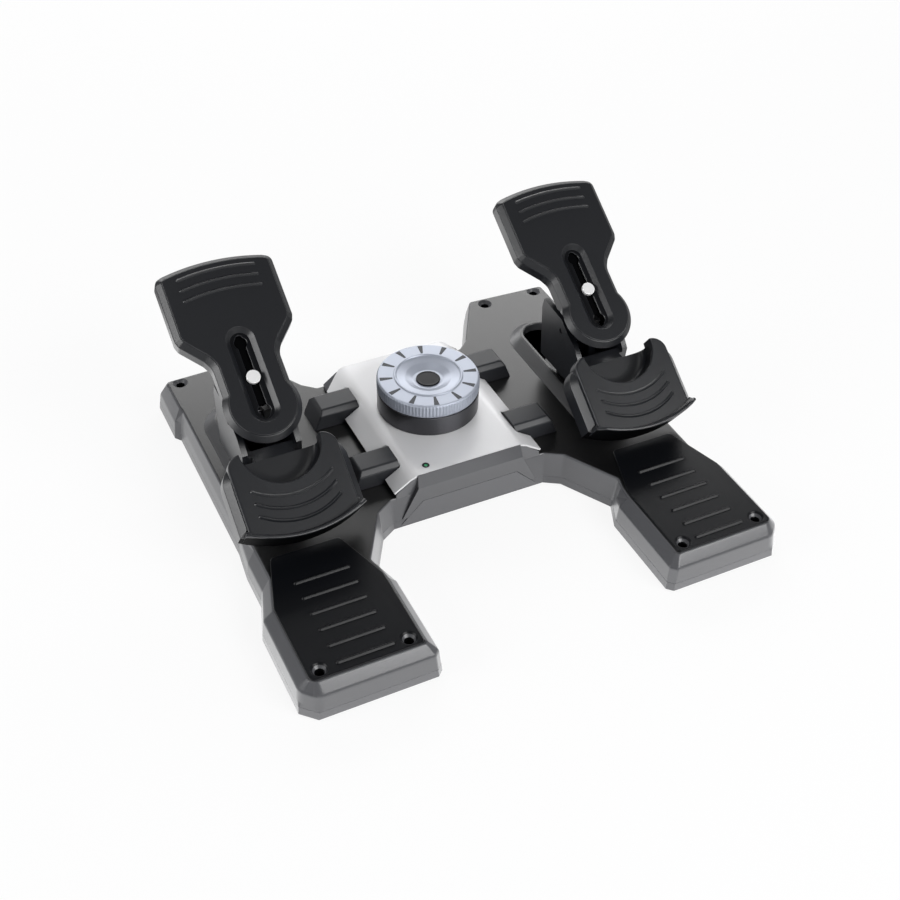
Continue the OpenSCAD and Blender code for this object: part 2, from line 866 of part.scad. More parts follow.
module cable_gland() color(rubber) translate([0, hub_rear_y, gland_z]) rotate([90, 0, 0]) difference() {
    union() {
        translate([0, 0, -gland_flange_t]) cylinder(r = gland_flange_r, h = gland_flange_t);
        cylinder(r = gland_r, h = gland_in - over);
    }
    translate([0, 0, -gland_flange_t - over])
        cylinder(r = gland_bore_r, h = gland_flange_t + gland_in + over);
}

module rubber_feet() color(rubber) both() for (p = foot_places)
    translate([p.x, p.y, 0]) cylinder(r = foot_r, h = foot_h);

module housing_screws() color(steel) both() for (p = join_places) translate([p.x, p.y, 0]) {
    rod(join_head_r, join_seat_z - join_head_h, join_seat_z);
    rod(join_r, join_seat_z - join_head_h, join_seat_z + wall + join_depth - over);
}

module tension_dial() color(blue_grey) translate([0, mid_y, dial_z]) {
    r0 = dial_r - knurl_in_h;
    difference() {
        union() {
            difference() {
                translate([0, 0, knurl_in_h]) linear_extrude(dial_h - 2 * knurl_in_h) polygon([
                    for (i = [0 : 2 * knurl_count - 1])
                        let (r = i % 2 == 0 ? dial_r : dial_r - knurl_depth)
                        r * [cos(180 * i / knurl_count), sin(180 * i / knurl_count)]
                ]);
                rod(dial_r - dial_wall, -over, dial_h);
            }
            rotate_extrude() polygon([
                [0, 0], [r0, 0], [dial_r - knurl_depth, knurl_in_h],
                [dial_r - knurl_depth, dial_h - knurl_in_h],
                [r0, dial_h], [dish_r + dish_ring_w, dial_h],
                [dish_r + dish_ring_w / 2, dial_h + dish_ring_h],
                [dish_r, dial_h], [cap_r + cap_t, dial_h - dish_drop], [0, dial_h - dish_drop]
            ]);
        }
        difference() {
            rod(dial_r - 2 * dial_wall, -over, dial_h - dish_drop - dial_wall);
            rod(dial_hub_r, -over, dial_h);
        }
        rod(shaft_r, -over, dial_h - dish_drop - dial_wall);
    }
}

module dial_cap() color(black) translate([0, mid_y, dial_top - dish_drop]) cylinder(r = cap_r, h = cap_t);

module tension_shaft() color(steel) translate([0, mid_y, 0]) {
    pad_top = bar_top + gap + friction_pad_t;
    rod(shaft_r, pad_top, dial_top - dish_drop - dial_wall);
    rod(friction_pad_r, pad_top, pad_top + shaft_disc_t);
}

module friction_pad() color(rubber) translate([0, mid_y, bar_top + gap])
    cylinder(r = friction_pad_r, h = friction_pad_t);

// Bar with a round eye at each end, a wide middle, and bores
module link_bar(end_fit) {
    difference() {
        union() {
            translate([-link_r, -bar_w / 2, bar_z]) cube([2 * link_r, bar_w, bar_t]);
            both() translate([link_r, 0, 0]) rod(bar_w / 2, bar_z, bar_top);
            children();
        }
        rod(post_r + bush_t, bar_z - over, bar_top + over);
        both() translate([link_r, 0, 0]) rod(pin_r + end_fit, bar_z - over, bar_top + over);
    }
}

module front_link_bar() color(steel) translate([0, front_pivot_y, 0]) {
    link_bar(fit) {
        translate([-friction_hw, 0, bar_z]) cube([2 * friction_hw, friction_l, bar_t]);
        translate([spring_leg_x, 0, 0]) rod(lug_r, bar_z, bar_top + lug_h);
    }
}

module front_bushing() color(brass) translate([0, front_pivot_y, 0]) difference() {
    rod(post_r + bush_t, bar_z, bar_top);
    rod(post_r + fit, bar_z - over, bar_top + over);
}

module rear_link_bar() color(steel) translate([0, rear_pivot_y, 0]) link_bar(open_fit);

module rear_bushing() color(brass) translate([0, rear_pivot_y, 0]) difference() {
    rod(post_r + bush_t, bar_z, bar_top);
    rod(post_r + fit, bar_z - over, bar_top + over);
}

module sensor_bracket() color(steel) translate([0, rear_pivot_y, 0]) {
    translate([-sensor_leg_x, -sensor_leg_l / 2, sensor_plate_z])
        cube([2 * sensor_leg_x, sensor_leg_l, sensor_plate_t]);
    both() translate([sensor_leg_x - sensor_leg_w, -sensor_leg_l / 2, bar_top])
        cube([sensor_leg_w, sensor_leg_l, sensor_plate_z + sensor_plate_t - bar_top]);
    rod(sensor_shaft_r, sensor_plate_z, sensor_z + sensor_h / 3);
}

// Places children on the slope of the toe plate: X across, Y along the slope, Z out of the face
module on_toe() translate([0, toe_y, toe_z]) rotate([toe_tilt, 0, 0]) children();

// Places children on the slope of the heel cup
module on_cup() translate([0, cup_y, cup_z]) rotate([cup_tilt, 0, 0]) children();

function cup_point(s, n) = [
    cup_y + s * cos(cup_tilt) - n * sin(cup_tilt),
    cup_z + s * sin(cup_tilt) + n * cos(cup_tilt)
];

// Solid across the pedal from an outline in Y and Z
module across(hw, points) {
    translate([hw, 0, 0]) rotate([0, -90, 0]) linear_extrude(2 * hw)
        polygon([for (p = points) [p[1], p[0]]]);
}

module carriage() color(black) {
    difference() {
        union() {
            translate([0, (front_pivot_y + rear_pivot_y) / 2, foot_plate_z]) linear_extrude(foot_plate_t)
                stadium(foot_plate_hw, link_gap / 2 + foot_plate_hw);
            translate([0, stem_y, foot_plate_z]) linear_extrude(stem_neck_z + stem_wall - foot_plate_z)
                stadium(stem_hw, stem_hl);
            across(ear_hw, side_view);
            across(bracket_hw, [
                cup_point(tray_top_s, -cup_side_h - tray_h),
                cup_point(bracket_low_s, -cup_side_h - tray_h),
                cup_point(bracket_low_s, -cup_side_h - tray_h - bracket_t),
                cup_point(bracket_mid_s, -cup_side_h - tray_h - bracket_t),
                [stem_y - stem_hl + stem_wall, stem_neck_z],
                [stem_y - stem_hl + stem_wall, web_top]
            ]);
        }
        translate([-ear_hw + ear_t, stem_y - stem_hl + stem_wall, stem_neck_z + stem_wall])
            cube([2 * (ear_hw - ear_t), 2 * (stem_hl - stem_wall), axle_z]);
        translate([-ear_hw + ear_t, -base_d, web_top])
            cube([2 * (ear_hw - ear_t), 2 * base_d, axle_z]);
        translate([0, stem_y, foot_plate_top + stem_wall]) linear_extrude(stem_neck_z)
            stadium(stem_hw - stem_wall, stem_hl - stem_wall);
        translate([-ear_hw - over, axle_y, axle_z]) rotate([0, 90, 0])
            cylinder(r = axle_r + fit, h = 2 * (ear_hw + over));
        for (y = [front_pivot_y, rear_pivot_y]) translate([0, y, 0])
            rod(pin_r, foot_plate_z - over, foot_plate_top + over);
        on_cup() both() translate([cup_screw_x, cup_screw_s, -base_d / 2])
            cylinder(r = cup_screw_r, h = base_d / 2);
    }
}

module link_pins() color(steel) for (y = [front_pivot_y, rear_pivot_y]) translate([0, y, 0]) {
    rod(pin_head_r, bar_z - gap - pin_head_h, bar_z - gap);
    rod(pin_r, bar_z - gap - pin_head_h, foot_plate_top);
}

// Flat outline of the heel cup, drawn in by t
module cup_shape(t) {
    difference() {
        intersection() {
            union() {
                translate([-cup_hw + t, -base_d / 2])
                    square([2 * (cup_hw - t), base_d / 2 + cup_top_s - cup_corner_r]);
                translate([-cup_hw + cup_corner_r, 0])
                    square([2 * (cup_hw - cup_corner_r), cup_top_s - t]);
                for (side = [-1, 1]) translate([side * (cup_hw - cup_corner_r), cup_top_s - cup_corner_r])
                    circle(r = cup_corner_r - t);
            }
            translate([0, cup_bottom_s + cup_arc_r]) circle(r = cup_arc_r - t, $fn = 128);
        }
        translate([0, cup_notch_s]) circle(r = cup_notch_r + t);
    }
}

// Flat outline of the tray under the heel cup, drawn in by t
module tray_shape(t) {
    hw = cup_hw + tray_out - t;
    r = tray_corner_r - t;
    intersection() {
        union() {
            translate([-hw, -base_d / 2]) square([2 * hw, base_d / 2 + tray_top_s - tray_corner_r]);
            translate([-hw + r, 0]) square([2 * (hw - r), tray_top_s - t]);
            for (side = [-1, 1]) translate([side * (hw - r), tray_top_s - t - r]) circle(r = r);
        }
        translate([0, cup_bottom_s + cup_arc_r]) circle(r = cup_arc_r - t, $fn = 128);
    }
}

// Outline of a curved rib with round ends, on radius r about a point on the middle line
function bow(r, hw, w, dir) =
    let (a = asin(hw / r))
    let (half = w / 2)
    let (points = concat(
        [for (i = [0 : bow_count]) let (t = -a + 2 * a * i / bow_count) (r + half) * [sin(t), cos(t)]],
        [for (i = [1 : bow_end_count - 1]) let (t = a + 180 * i / bow_end_count)
            r * [sin(a), cos(a)] + half * [sin(t), cos(t)]],
        [for (i = [0 : bow_count]) let (t = a - 2 * a * i / bow_count) (r - half) * [sin(t), cos(t)]],
        [for (i = [1 : bow_end_count - 1]) let (t = 180 - a + 180 * i / bow_end_count)
            r * [-sin(a), cos(a)] + half * [sin(t), cos(t)]]
    ))
    [for (q = points) [q.x, dir * q.y]];

// Curved rib of height h that arches up or down
module curved_rib(r, centre, hw, w, h, up) {
    translate([0, centre, 0]) linear_extrude(h) polygon(bow(r, hw, w, up ? 1 : -1));
}

module heel_cup() color(black) on_cup() difference() {
    union() {
        difference() {
            translate([0, 0, -cup_side_h - over / 10]) linear_extrude(cup_side_h + over / 10)
                cup_shape(0);
            translate([0, 0, -cup_side_h - over]) linear_extrude(cup_side_h + over - cup_wall)
                cup_shape(cup_wall);
        }
        difference() {
            translate([0, 0, -cup_side_h - tray_h]) linear_extrude(tray_h) tray_shape(0);
            difference() {
                translate([0, 0, -cup_side_h - tray_h - over]) linear_extrude(tray_h + over - cup_wall)
                    tray_shape(cup_wall);
                translate([0, cup_notch_s, -base_d / 2]) cylinder(r = cup_notch_r + cup_wall, h = base_d);
            }
            translate([0, cup_notch_s, panel_n]) cylinder(r = cup_notch_r, h = base_d);
        }
        for (i = [0 : cup_rib_count - 1])
            translate([0, 0, -over / 10])
                curved_rib(cup_rib_r, cup_bottom_s + cup_rib_r + cup_rib_first - i * cup_rib_pitch,
                    cup_rib_hw, cup_rib_w, cup_rib_h + over / 10, false);
        intersection() {
            translate([0, cup_bottom_s + cup_arc_r, -cup_side_h]) difference() {
                cylinder(r = cup_arc_r + lip_t / 2, h = cup_side_h + lip_h, $fn = 128);
                rod(cup_arc_r - lip_t / 2, -over, cup_side_h + lip_h + over, $fn = 128);
            }
            translate([-lip_hw, -base_d, -base_d / 2]) cube([2 * lip_hw, base_d + cup_top_s / 2, base_d]);
        }
    }
    both() translate([cup_screw_x, cup_screw_s, -cup_side_h - tray_h - over])
        cylinder(r = cup_screw_r, h = over - panel_n / 100);
}

module heel_cup_screws() color(steel) on_cup() both()
    translate([cup_screw_x, cup_screw_s, -cup_side_h - tray_h - bracket_t]) {
        translate([0, 0, -cup_screw_head_h]) cylinder(r = cup_screw_head_r, h = cup_screw_head_h);
        cylinder(r = cup_screw_r, h = bracket_t);
    }

module brake_spring() color(steel) {
    translate([brake_spring_x - brake_spring_w / 2, axle_y, axle_z]) rotate([0, 90, 0]) difference() {
        cylinder(r = axle_r + brake_spring_t, h = brake_spring_w);
        translate([0, 0, -over]) cylinder(r = axle_r + gap, h = brake_spring_w + 2 * over);
    }
    translate([brake_spring_x, axle_y + axle_r + brake_spring_t / 2, web_top - stem_wall])
        cylinder(r = brake_wire, h = axle_z - web_top + stem_wall);
}

module brake_sensor() color(black) difference() {
    union() {
        translate([brake_sensor_x - brake_sensor_t / 2, axle_y, axle_z])
            translate([0, -brake_sensor_w / 2, -brake_sensor_w / 2])
                cube([brake_sensor_t, brake_sensor_w, brake_sensor_w]);
        translate([brake_sensor_x - brake_sensor_t / 2, axle_y - brake_post_w / 2, 0])
            translate([0, 0, stem_neck_z + stem_wall])
                cube([brake_sensor_t, brake_post_w, axle_z - stem_neck_z - stem_wall]);
    }
    translate([0, axle_y, axle_z]) rotate([0, 90, 0]) cylinder(r = axle_r + fit, h = 2 * ear_hw);
}

// Arc of points about a centre
function arc(centre, r, a0, a1, n) = [for (i = [0 : n])
    let (t = a0 + (a1 - a0) * i / n)
    centre + r * [cos(t), sin(t)]];

// Right side of the toe plate's outline, from the round end to the top
head_centre_s = head_mid_s - head_arc_r;
disc_end_angle = acos(neck_hw / disc_r);
arc_end_angle = 90 - asin((head_hw - head_corner_r) / head_arc_r);
toe_half = concat(
    arc([0, disc_s], disc_r, -90, disc_end_angle, 14),
    [
        [neck_hw, neck_end_s],
        [neck_hw + (shoulder_in_x - neck_hw) / 2, (neck_end_s + shoulder_in_s) / 2 + toe_wall / 2],
        [shoulder_in_x, shoulder_in_s],
        [shoulder_x - toe_wall, shoulder_s - toe_wall],
        [shoulder_x, shoulder_s],
        [head_hw, head_s]
    ],
    arc([head_hw - head_corner_r, head_top_s], head_corner_r, 0, arc_end_angle, 4),
    arc([0, head_centre_s], head_arc_r, arc_end_angle, 90, 8)
);
toe_outline = concat(toe_half,
    [for (i = [len(toe_half) - 2 : -1 : 1]) [-toe_half[i].x, toe_half[i].y]]);
toe_count = len(toe_outline);
toe_caps = concat(
    [[0, 1, toe_count - 1]],
    [for (i = [1 : toe_count / 2 - 2]) [i, i + 1, toe_count - i - 1, toe_count - i]],
    [[toe_count / 2 - 1, toe_count / 2, toe_count / 2 + 1]]
);

module toe_plate() color(black) on_toe() difference() {
    union() {
        difference() {
            loft([
                level(toe_outline, -skirt_h),
                level(toe_outline, -face_edge),
                level(inset(toe_outline, same(toe_outline, face_edge_in)), -face_edge_h),
                level(inset(toe_outline, same(toe_outline, face_in)), 0)
            ], toe_caps);
            difference() {
                loft([
                    level(inset(toe_outline, same(toe_outline, toe_wall)), -skirt_h - over),
                    level(inset(toe_outline, same(toe_outline, toe_wall)), -face_edge - toe_top_t),
                    level(inset(toe_outline, same(toe_outline, face_in + toe_wall / 2)), -toe_top_t)
                ], toe_caps);
                translate([0, (recess_low_s + recess_high_s) / 2, -recess_h - recess_floor_t])
                    linear_extrude(skirt_h) stadium(recess_hw + recess_wall,
                        (recess_high_s - recess_low_s) / 2 + recess_hw + recess_wall);
            }
        }
        for (i = [0 : toe_rib_count - 1]) translate([0, 0, -over / 10])
            curved_rib(head_arc_r - toe_rib_first - i * toe_rib_pitch, head_centre_s, toe_rib_hw,
                toe_rib_w, toe_rib_h + over / 10, true);
    }
    translate([0, (recess_low_s + recess_high_s) / 2, -recess_h]) linear_extrude(skirt_h)
        stadium(recess_hw, (recess_high_s - recess_low_s) / 2 + recess_hw);
    translate([0, (key_low_s + key_high_s) / 2, -skirt_h]) linear_extrude(2 * skirt_h)
        stadium(clamp_slot_hw, (key_high_s - key_low_s) / 2 + clamp_slot_hw);
    for (s = [key_low_s, key_high_s]) translate([0, s, 0]) rod(key_r, -skirt_h, skirt_h);
    across(base_w, [
        [0, -disc_t], [neck_s, -disc_t], [neck_s + skirt_cut_s, -skirt_h - over], [0, -skirt_h - over]
    ]);
}

// Depth and place of the brake axle seen from the slope of the toe plate
axle_s = (axle_y - toe_y) * cos(toe_tilt) + (axle_z - toe_z) * sin(toe_tilt);
axle_n = -(axle_y - toe_y) * sin(toe_tilt) + (axle_z - toe_z) * cos(toe_tilt);

module toe_lever() color(black) on_toe() difference() {
    union() {
        translate([-yoke_hw, yoke_low_s, yoke_top_n - yoke_t])
            cube([2 * yoke_hw, yoke_high_s - yoke_low_s, yoke_t]);
        both() translate([yoke_hw - cheek_t, 0, 0]) {
            translate([cheek_t, 0, 0]) rotate([0, -90, 0]) linear_extrude(cheek_t) polygon([
                [yoke_top_n - yoke_t / 2, yoke_low_s],
                [yoke_top_n - yoke_t / 2, yoke_high_s],
                [yoke_top_n - 2 * yoke_t, yoke_high_s],
                [axle_n - yoke_hub_r, axle_s + yoke_hub_r],
                [axle_n - yoke_hub_r, axle_s],
                [axle_n, axle_s - yoke_hub_r]
            ]);
            translate([0, axle_s, axle_n]) rotate([0, 90, 0]) cylinder(r = yoke_hub_r, h = cheek_t);
        }
    }
    translate([-base_w, axle_s, axle_n]) rotate([0, 90, 0]) cylinder(r = axle_r, h = 2 * base_w);
    translate([0, clamp_s, 0]) rod(clamp_r, -skirt_h - over, 0);
}

module brake_axle() color(steel) translate([-ear_hw + over, axle_y, axle_z]) rotate([0, 90, 0])
    cylinder(r = axle_r, h = 2 * (ear_hw - over));

module clamp_screw() color(white) on_toe() translate([0, clamp_s, 0]) {
    rod(clamp_head_r, -recess_h + gap, -gap);
    rod(clamp_r, yoke_top_n - yoke_t - clamp_nut_h, -recess_h + gap);
    rod(clamp_head_r, yoke_top_n - yoke_t - clamp_nut_h, yoke_top_n - yoke_t);
}

module at_left() translate([-link_r, 0, 0]) children();
module at_right() translate([link_r, 0, 0]) children();

module carriage_left() at_left() carriage();
module link_pins_left() at_left() link_pins();
module heel_cup_left() at_left() heel_cup();
module heel_cup_screws_left() at_left() heel_cup_screws();
module brake_spring_left() at_left() brake_spring();
module brake_sensor_left() at_left() brake_sensor();
module toe_lever_left() at_left() toe_lever();
module brake_axle_left() at_left() brake_axle();
module clamp_screw_left() at_left() clamp_screw();
module toe_plate_left() at_left() toe_plate();
module carriage_right() at_right() carriage();
module link_pins_right() at_right() link_pins();
module heel_cup_right() at_right() heel_cup();
module heel_cup_screws_right() at_right() heel_cup_screws();
module brake_spring_right() at_right() brake_spring();
module brake_sensor_right() at_right() brake_sensor();
module toe_lever_right() at_right() toe_lever();
module brake_axle_right() at_right() brake_axle();
module clamp_screw_right() at_right() clamp_screw();
module toe_plate_right() at_right() toe_plate();

lower_housing();
upper_housing();
heel_pads();
hub_plate();
front_hoods();
rear_hoods();
knob_collar();
status_led();
circuit_board();
board_screws();
front_pivot_post();
rear_pivot_post();
centring_spring();
rudder_sensor();
cable_gland();
rubber_feet();
housing_screws();
tension_dial();
dial_cap();
tension_shaft();
friction_pad();
front_link_bar();
front_bushing();
rear_link_bar();
rear_bushing();
sensor_bracket();
carriage_left();
link_pins_left();
heel_cup_left();
heel_cup_screws_left();
brake_spring_left();
brake_sensor_left();
toe_lever_left();
brake_axle_left();
clamp_screw_left();
toe_plate_left();
carriage_right();
link_pins_right();
heel_cup_right();
heel_cup_screws_right();
brake_spring_right();
brake_sensor_right();
toe_lever_right();
brake_axle_right();
clamp_screw_right();
toe_plate_right();
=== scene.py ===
"""Looks of the rudder pedals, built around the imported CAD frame. Lengths in the code are in mm."""
import math

import bmesh
import bpy
from mathutils import Matrix, Vector


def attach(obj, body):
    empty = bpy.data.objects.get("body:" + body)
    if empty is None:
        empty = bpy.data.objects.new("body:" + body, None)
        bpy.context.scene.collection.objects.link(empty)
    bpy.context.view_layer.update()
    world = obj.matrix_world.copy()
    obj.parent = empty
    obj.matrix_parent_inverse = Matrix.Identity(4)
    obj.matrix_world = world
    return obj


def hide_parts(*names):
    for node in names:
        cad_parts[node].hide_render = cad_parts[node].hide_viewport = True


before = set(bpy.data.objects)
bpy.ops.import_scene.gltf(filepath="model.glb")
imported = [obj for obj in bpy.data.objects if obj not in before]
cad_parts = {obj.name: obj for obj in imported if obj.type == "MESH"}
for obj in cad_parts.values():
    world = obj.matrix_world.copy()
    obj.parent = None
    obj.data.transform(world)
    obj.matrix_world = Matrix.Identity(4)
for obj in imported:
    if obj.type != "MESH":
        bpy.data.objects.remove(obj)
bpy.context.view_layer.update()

scene = bpy.context.scene
MM = 0.001
SIDES = (("left", -1), ("right", 1))
# Pedal pivots to the side of the hub, the two link bars and the dial along Y
LINK_R, FRONT_Y, REAR_Y, MID_Y = 161.4, -3, 88, 47
# Heights of the deck and of the silver plate, and of the parting line of the housing
DECK, PLATE, PARTING = 34, 53, 9.5


# Outlines
def turned(v):
    """A quarter turn to the left."""
    return Vector((-v.y, v.x))


def inset(points, d):
    """Moves each corner of a closed outline inwards by its own amount."""
    n = len(points)
    amounts = d if isinstance(d, (list, tuple)) else [d] * n
    out = []
    for i, b in enumerate(points):
        a, c = Vector(points[i - 1][:2]), Vector(points[(i + 1) % n][:2])
        b = Vector(b[:2])
        u, v = turned((b - a).normalized()), turned((c - b).normalized())
        out.append(b + amounts[i] * (u + v) / (1 + u.dot(v)))
    return out


def rounded(points, radii, steps=4):
    """Fillets the corners of a closed outline. Points may carry a height as a third value."""
    n = len(points)
    out = []
    for i in range(n):
        a, b, c = (Vector(points[k % n]) for k in (i - 1, i, i + 1))
        r = radii[i] if isinstance(radii, (list, tuple)) else radii
        if r <= 0:
            out.append(b)
            continue
        a2, b2, c2 = Vector(a[:2]), Vector(b[:2]), Vector(c[:2])
        la, lc = (a2 - b2).length, (c2 - b2).length
        u, v = (a2 - b2) / la, (c2 - b2) / lc
        turn = math.pi - math.acos(max(-1, min(1, u.dot(v))))
        t = min(r * math.tan(turn / 2), 0.45 * la, 0.45 * lc)
        p, q = b.lerp(a, t / la), b.lerp(c, t / lc)
        for k in range(steps + 1):
            s = k / steps
            w = p.lerp(b, s).lerp(b.lerp(q, s), s)
            out.append(w)
    return out


def soft_profile(points, radii, steps=3):
    """Fillets the inner points of an open profile."""
    out = [Vector(points[0])]
    for i in range(1, len(points) - 1):
        a, b, c = (Vector(points[k]) for k in (i - 1, i, i + 1))
        r = radii[i] if isinstance(radii, (list, tuple)) else radii
        la, lc = (a - b).length, (c - b).length
        if r <= 0 or min(la, lc) < 1e-6:
            out += [b] * (steps + 1)
            continue
        t = min(r, 0.45 * la, 0.45 * lc)
        p, q = b.lerp(a, t / la), b.lerp(c, t / lc)
        out += [p.lerp(b, k / steps).lerp(b.lerp(q, k / steps), k / steps) for k in range(steps + 1)]
    out.append(Vector(points[-1]))
    return out


def stadium(hw, hl, n=16, centre=(0, 0)):
    """Outline with straight sides and round ends, hw and hl from its centre to its edge."""
    out = []
    for sign in (-1, 1):
        for k in range(n + 1):
            t = math.pi * k / n + (math.pi if sign < 0 else 0)
            out.append(Vector((centre[0] + hw * math.cos(t), centre[1] + sign * (hl - hw) + hw * math.sin(t))))
    return out


def circle(r, n=48, centre=(0, 0)):
    return [Vector((centre[0] + r * math.cos(2 * math.pi * k / n), centre[1] + r * math.sin(2 * math.pi * k / n)))
            for k in range(n)]


def bow(r, centre_y, hw, w, way, steps=20, end=8):
    """Outline of a curved rib with round ends."""
    a, half = math.asin(hw / r), w / 2
    at = lambda q, t: Vector((q * math.sin(t), q * math.cos(t)))
    out = [at(r + half, a - 2 * a * k / steps) for k in range(steps + 1)]
    out += [at(r, -a) + at(half, -a - math.pi * k / end) for k in range(1, end)]
    out += [at(r - half, -a + 2 * a * k / steps) for k in range(steps + 1)]
    out += [at(r, a) + at(half, math.pi + a - math.pi * k / end) for k in range(1, end)]
    out = [Vector((p.x, centre_y + way * p.y)) for p in out]
    return out if way > 0 else out[::-1]


def both_halves(half):
    """Closes the right half of an outline with its mirror image. Points on the axis stay single."""
    return half + [Vector((-p.x, p.y)) for p in half[::-1] if abs(p.x) > 1e-6]


def level(outline, z):
    return [Vector((p[0], p[1], z)) for p in outline]


# Meshes
def make(name, points, faces, place=None):
    data = bpy.data.meshes.new(name)
    place = place or Matrix.Identity(4)
    data.from_pydata([(place @ Vector(p)) * MM for p in points], [], faces)
    b = bmesh.new()
    b.from_mesh(data)
    bmesh.ops.recalc_face_normals(b, faces=b.faces[:])
    b.to_mesh(data)
    b.free()
    obj = bpy.data.objects.new(name, data)
    scene.collection.objects.link(obj)
    return obj


def loft(name, rings, place=None):
    """Closed solid through rings that have the same number of points."""
    n = len(rings[0])
    points = [p for r in rings for p in r]
    faces = [(k * n + i, k * n + (i + 1) % n, (k + 1) * n + (i + 1) % n, (k + 1) * n + i)
             for k in range(len(rings) - 1) for i in range(n)]
    faces += [tuple(range(n - 1, -1, -1)), tuple((len(rings) - 1) * n + i for i in range(n))]
    return make(name, points, faces, place)


def tube(name, rings, place=None):
    """Closed ring solid: the last ring joins the first."""
    n, m = len(rings[0]), len(rings)
    points = [p for r in rings for p in r]
    faces = [(k * n + i, k * n + (i + 1) % n, (k + 1) % m * n + (i + 1) % n, (k + 1) % m * n + i)
             for k in range(m) for i in range(n)]
    return make(name, points, faces, place)


def lathe(name, profile, n=96, place=None, wave=None):
    """Solid of revolution about Z from a profile of (radius, height) that starts and ends on the axis."""
    points = [(0, 0, profile[0][1])]
    for r, z in profile[1:-1]:
        for i in range(n):
            q = r + (wave(i, r, z) if wave else 0)
            t = 2 * math.pi * i / n
            points.append((q * math.cos(t), q * math.sin(t), z))
    points.append((0, 0, profile[-1][1]))
    last, m = len(points) - 1, len(profile) - 2
    faces = [(0, 1 + (i + 1) % n, 1 + i) for i in range(n)]
    faces += [(1 + k * n + i, 1 + k * n + (i + 1) % n, 1 + (k + 1) * n + (i + 1) % n, 1 + (k + 1) * n + i)
              for k in range(m - 1) for i in range(n)]
    faces += [(1 + (m - 1) * n + i, 1 + (m - 1) * n + (i + 1) % n, last) for i in range(n)]
    return make(name, points, faces, place)


def prism(name, outline, z0, z1, place=None):
    return loft(name, [level(outline, z0), level(outline, z1)], place)


def block(name, low, high, place=None):
    (x0, y0, z0), (x1, y1, z1) = low, high
    return prism(name, [(x0, y0), (x1, y0), (x1, y1), (x0, y1)], z0, z1, place)


def domed(name, outline, h, place=None, z=0.0, depth=0.3, width=1.2):
    """Low rib with a sloped, softly rounded back."""
    rings = [level(outline, z - depth)]
    for share, drop in ((0, 0.86), (0.3, 0.57), (0.58, 0.31), (0.82, 0.11), (1, 0)):
        rings.append(level(inset(outline, width * share), z + max(0.05, h - width * drop)))
    return loft(name, rings, place)


def baked(obj):
    """Applies the modifiers of an object to its mesh."""
    got = bpy.data.meshes.new_from_object(obj.evaluated_get(bpy.context.evaluated_depsgraph_get()))
    obj.modifiers.clear()
    obj.data = got
    return obj


def cut(obj, *tools):
    for tool in tools:
        m = obj.modifiers.new("cut", "BOOLEAN")
        m.operation, m.solver, m.object = "DIFFERENCE", "EXACT", tool
    bpy.context.view_layer.update()
    baked(obj)
    for tool in tools:
        bpy.data.objects.remove(tool)
    return obj


def merged(name, *objs):
    """One object that holds several closed meshes."""
    b = bmesh.new()
    for o in objs:
        b.from_mesh(o.data)
        bpy.data.objects.remove(o)
    data = bpy.data.meshes.new(name)
    b.to_mesh(data)
    b.free()
    obj = bpy.data.objects.new(name, data)
    scene.collection.objects.link(obj)
    return obj


def bevelled(obj, width, segments=3, angle=25):
    m = obj.modifiers.new("bevel", "BEVEL")
    m.width, m.segments, m.limit_method, m.angle_limit = width * MM, segments, "ANGLE", math.radians(angle)
    bpy.context.view_layer.update()
    return baked(obj)


def tidied(obj):
    """Joins the slivers of flat faces, so that they shade evenly."""
    b = bmesh.new()
    b.from_mesh(obj.data)
    bmesh.ops.remove_doubles(b, verts=b.verts[:], dist=0.000002)
    bmesh.ops.dissolve_limit(b, angle_limit=math.radians(0.2), verts=b.verts[:], edges=b.edges[:])
    b.to_mesh(obj.data)
    b.free()
    return obj


def finish(obj, material, body=None, angle=32, replaces=()):
    """Gives a piece its material, its shading, the body it rides on and the CAD nodes it replaces."""
    tidied(obj)
    data = obj.data
    data.materials.clear()
    data.materials.append(material)
    for p in data.polygons:
        p.use_smooth = True
    data.set_sharp_from_angle(angle=math.radians(angle))
    m = obj.modifiers.new("normals", "WEIGHTED_NORMAL")
    m.keep_sharp = True
    m.weight = 90
    if body:
        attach(obj, body)
    if replaces:
        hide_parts(*replaces)
    return obj


def repaint(obj, materials, pick, place=None):
    """Adds materials. pick says, from a face's centre and normal in the piece's own frame, which one it takes."""
    back = (place or Matrix.Identity(4)).inverted()
    for material in materials:
        obj.data.materials.append(material)
    for f in obj.data.polygons:
        f.material_index = pick(back @ (f.center / MM), back.to_3x3() @ f.normal)


def dress(node, material, width=0.5, segments=2, angle=30):
    """A CAD node that keeps its shape gets softened edges and a finish."""
    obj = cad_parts[node]
    obj.data.materials.clear()
    obj.data.materials.append(material)
    w = obj.modifiers.new("weld", "WELD")
    w.merge_threshold = 0.00002
    if width:
        d = obj.modifiers.new("flat", "DECIMATE")
        d.decimate_type, d.angle_limit = "DISSOLVE", math.radians(1.5)
        m = obj.modifiers.new("bevel", "BEVEL")
        m.width, m.segments, m.limit_method, m.angle_limit = width * MM, segments, "ANGLE", math.radians(angle)
        m.harden_normals = False
    s = obj.modifiers.new("normals", "WEIGHTED_NORMAL")
    s.keep_sharp = True
    for p in obj.data.polygons:
        p.use_smooth = True
    return obj


# Materials
def add(tree, kind, values=(), props=(), **inputs):
    """Adds a node. Inputs are filled by number from values, or by name, with _ for a space."""
    made = tree.nodes.new("ShaderNode" + kind)
    for key, value in dict(props).items():
        setattr(made, key, value)
    named = [(key.replace("_", " "), value) for key, value in inputs.items()]
    for key, value in [*enumerate(values), *named]:
        if isinstance(value, bpy.types.NodeSocket):
            tree.links.new(value, made.inputs[key])
        else:
            made.inputs[key].default_value = value
    return made


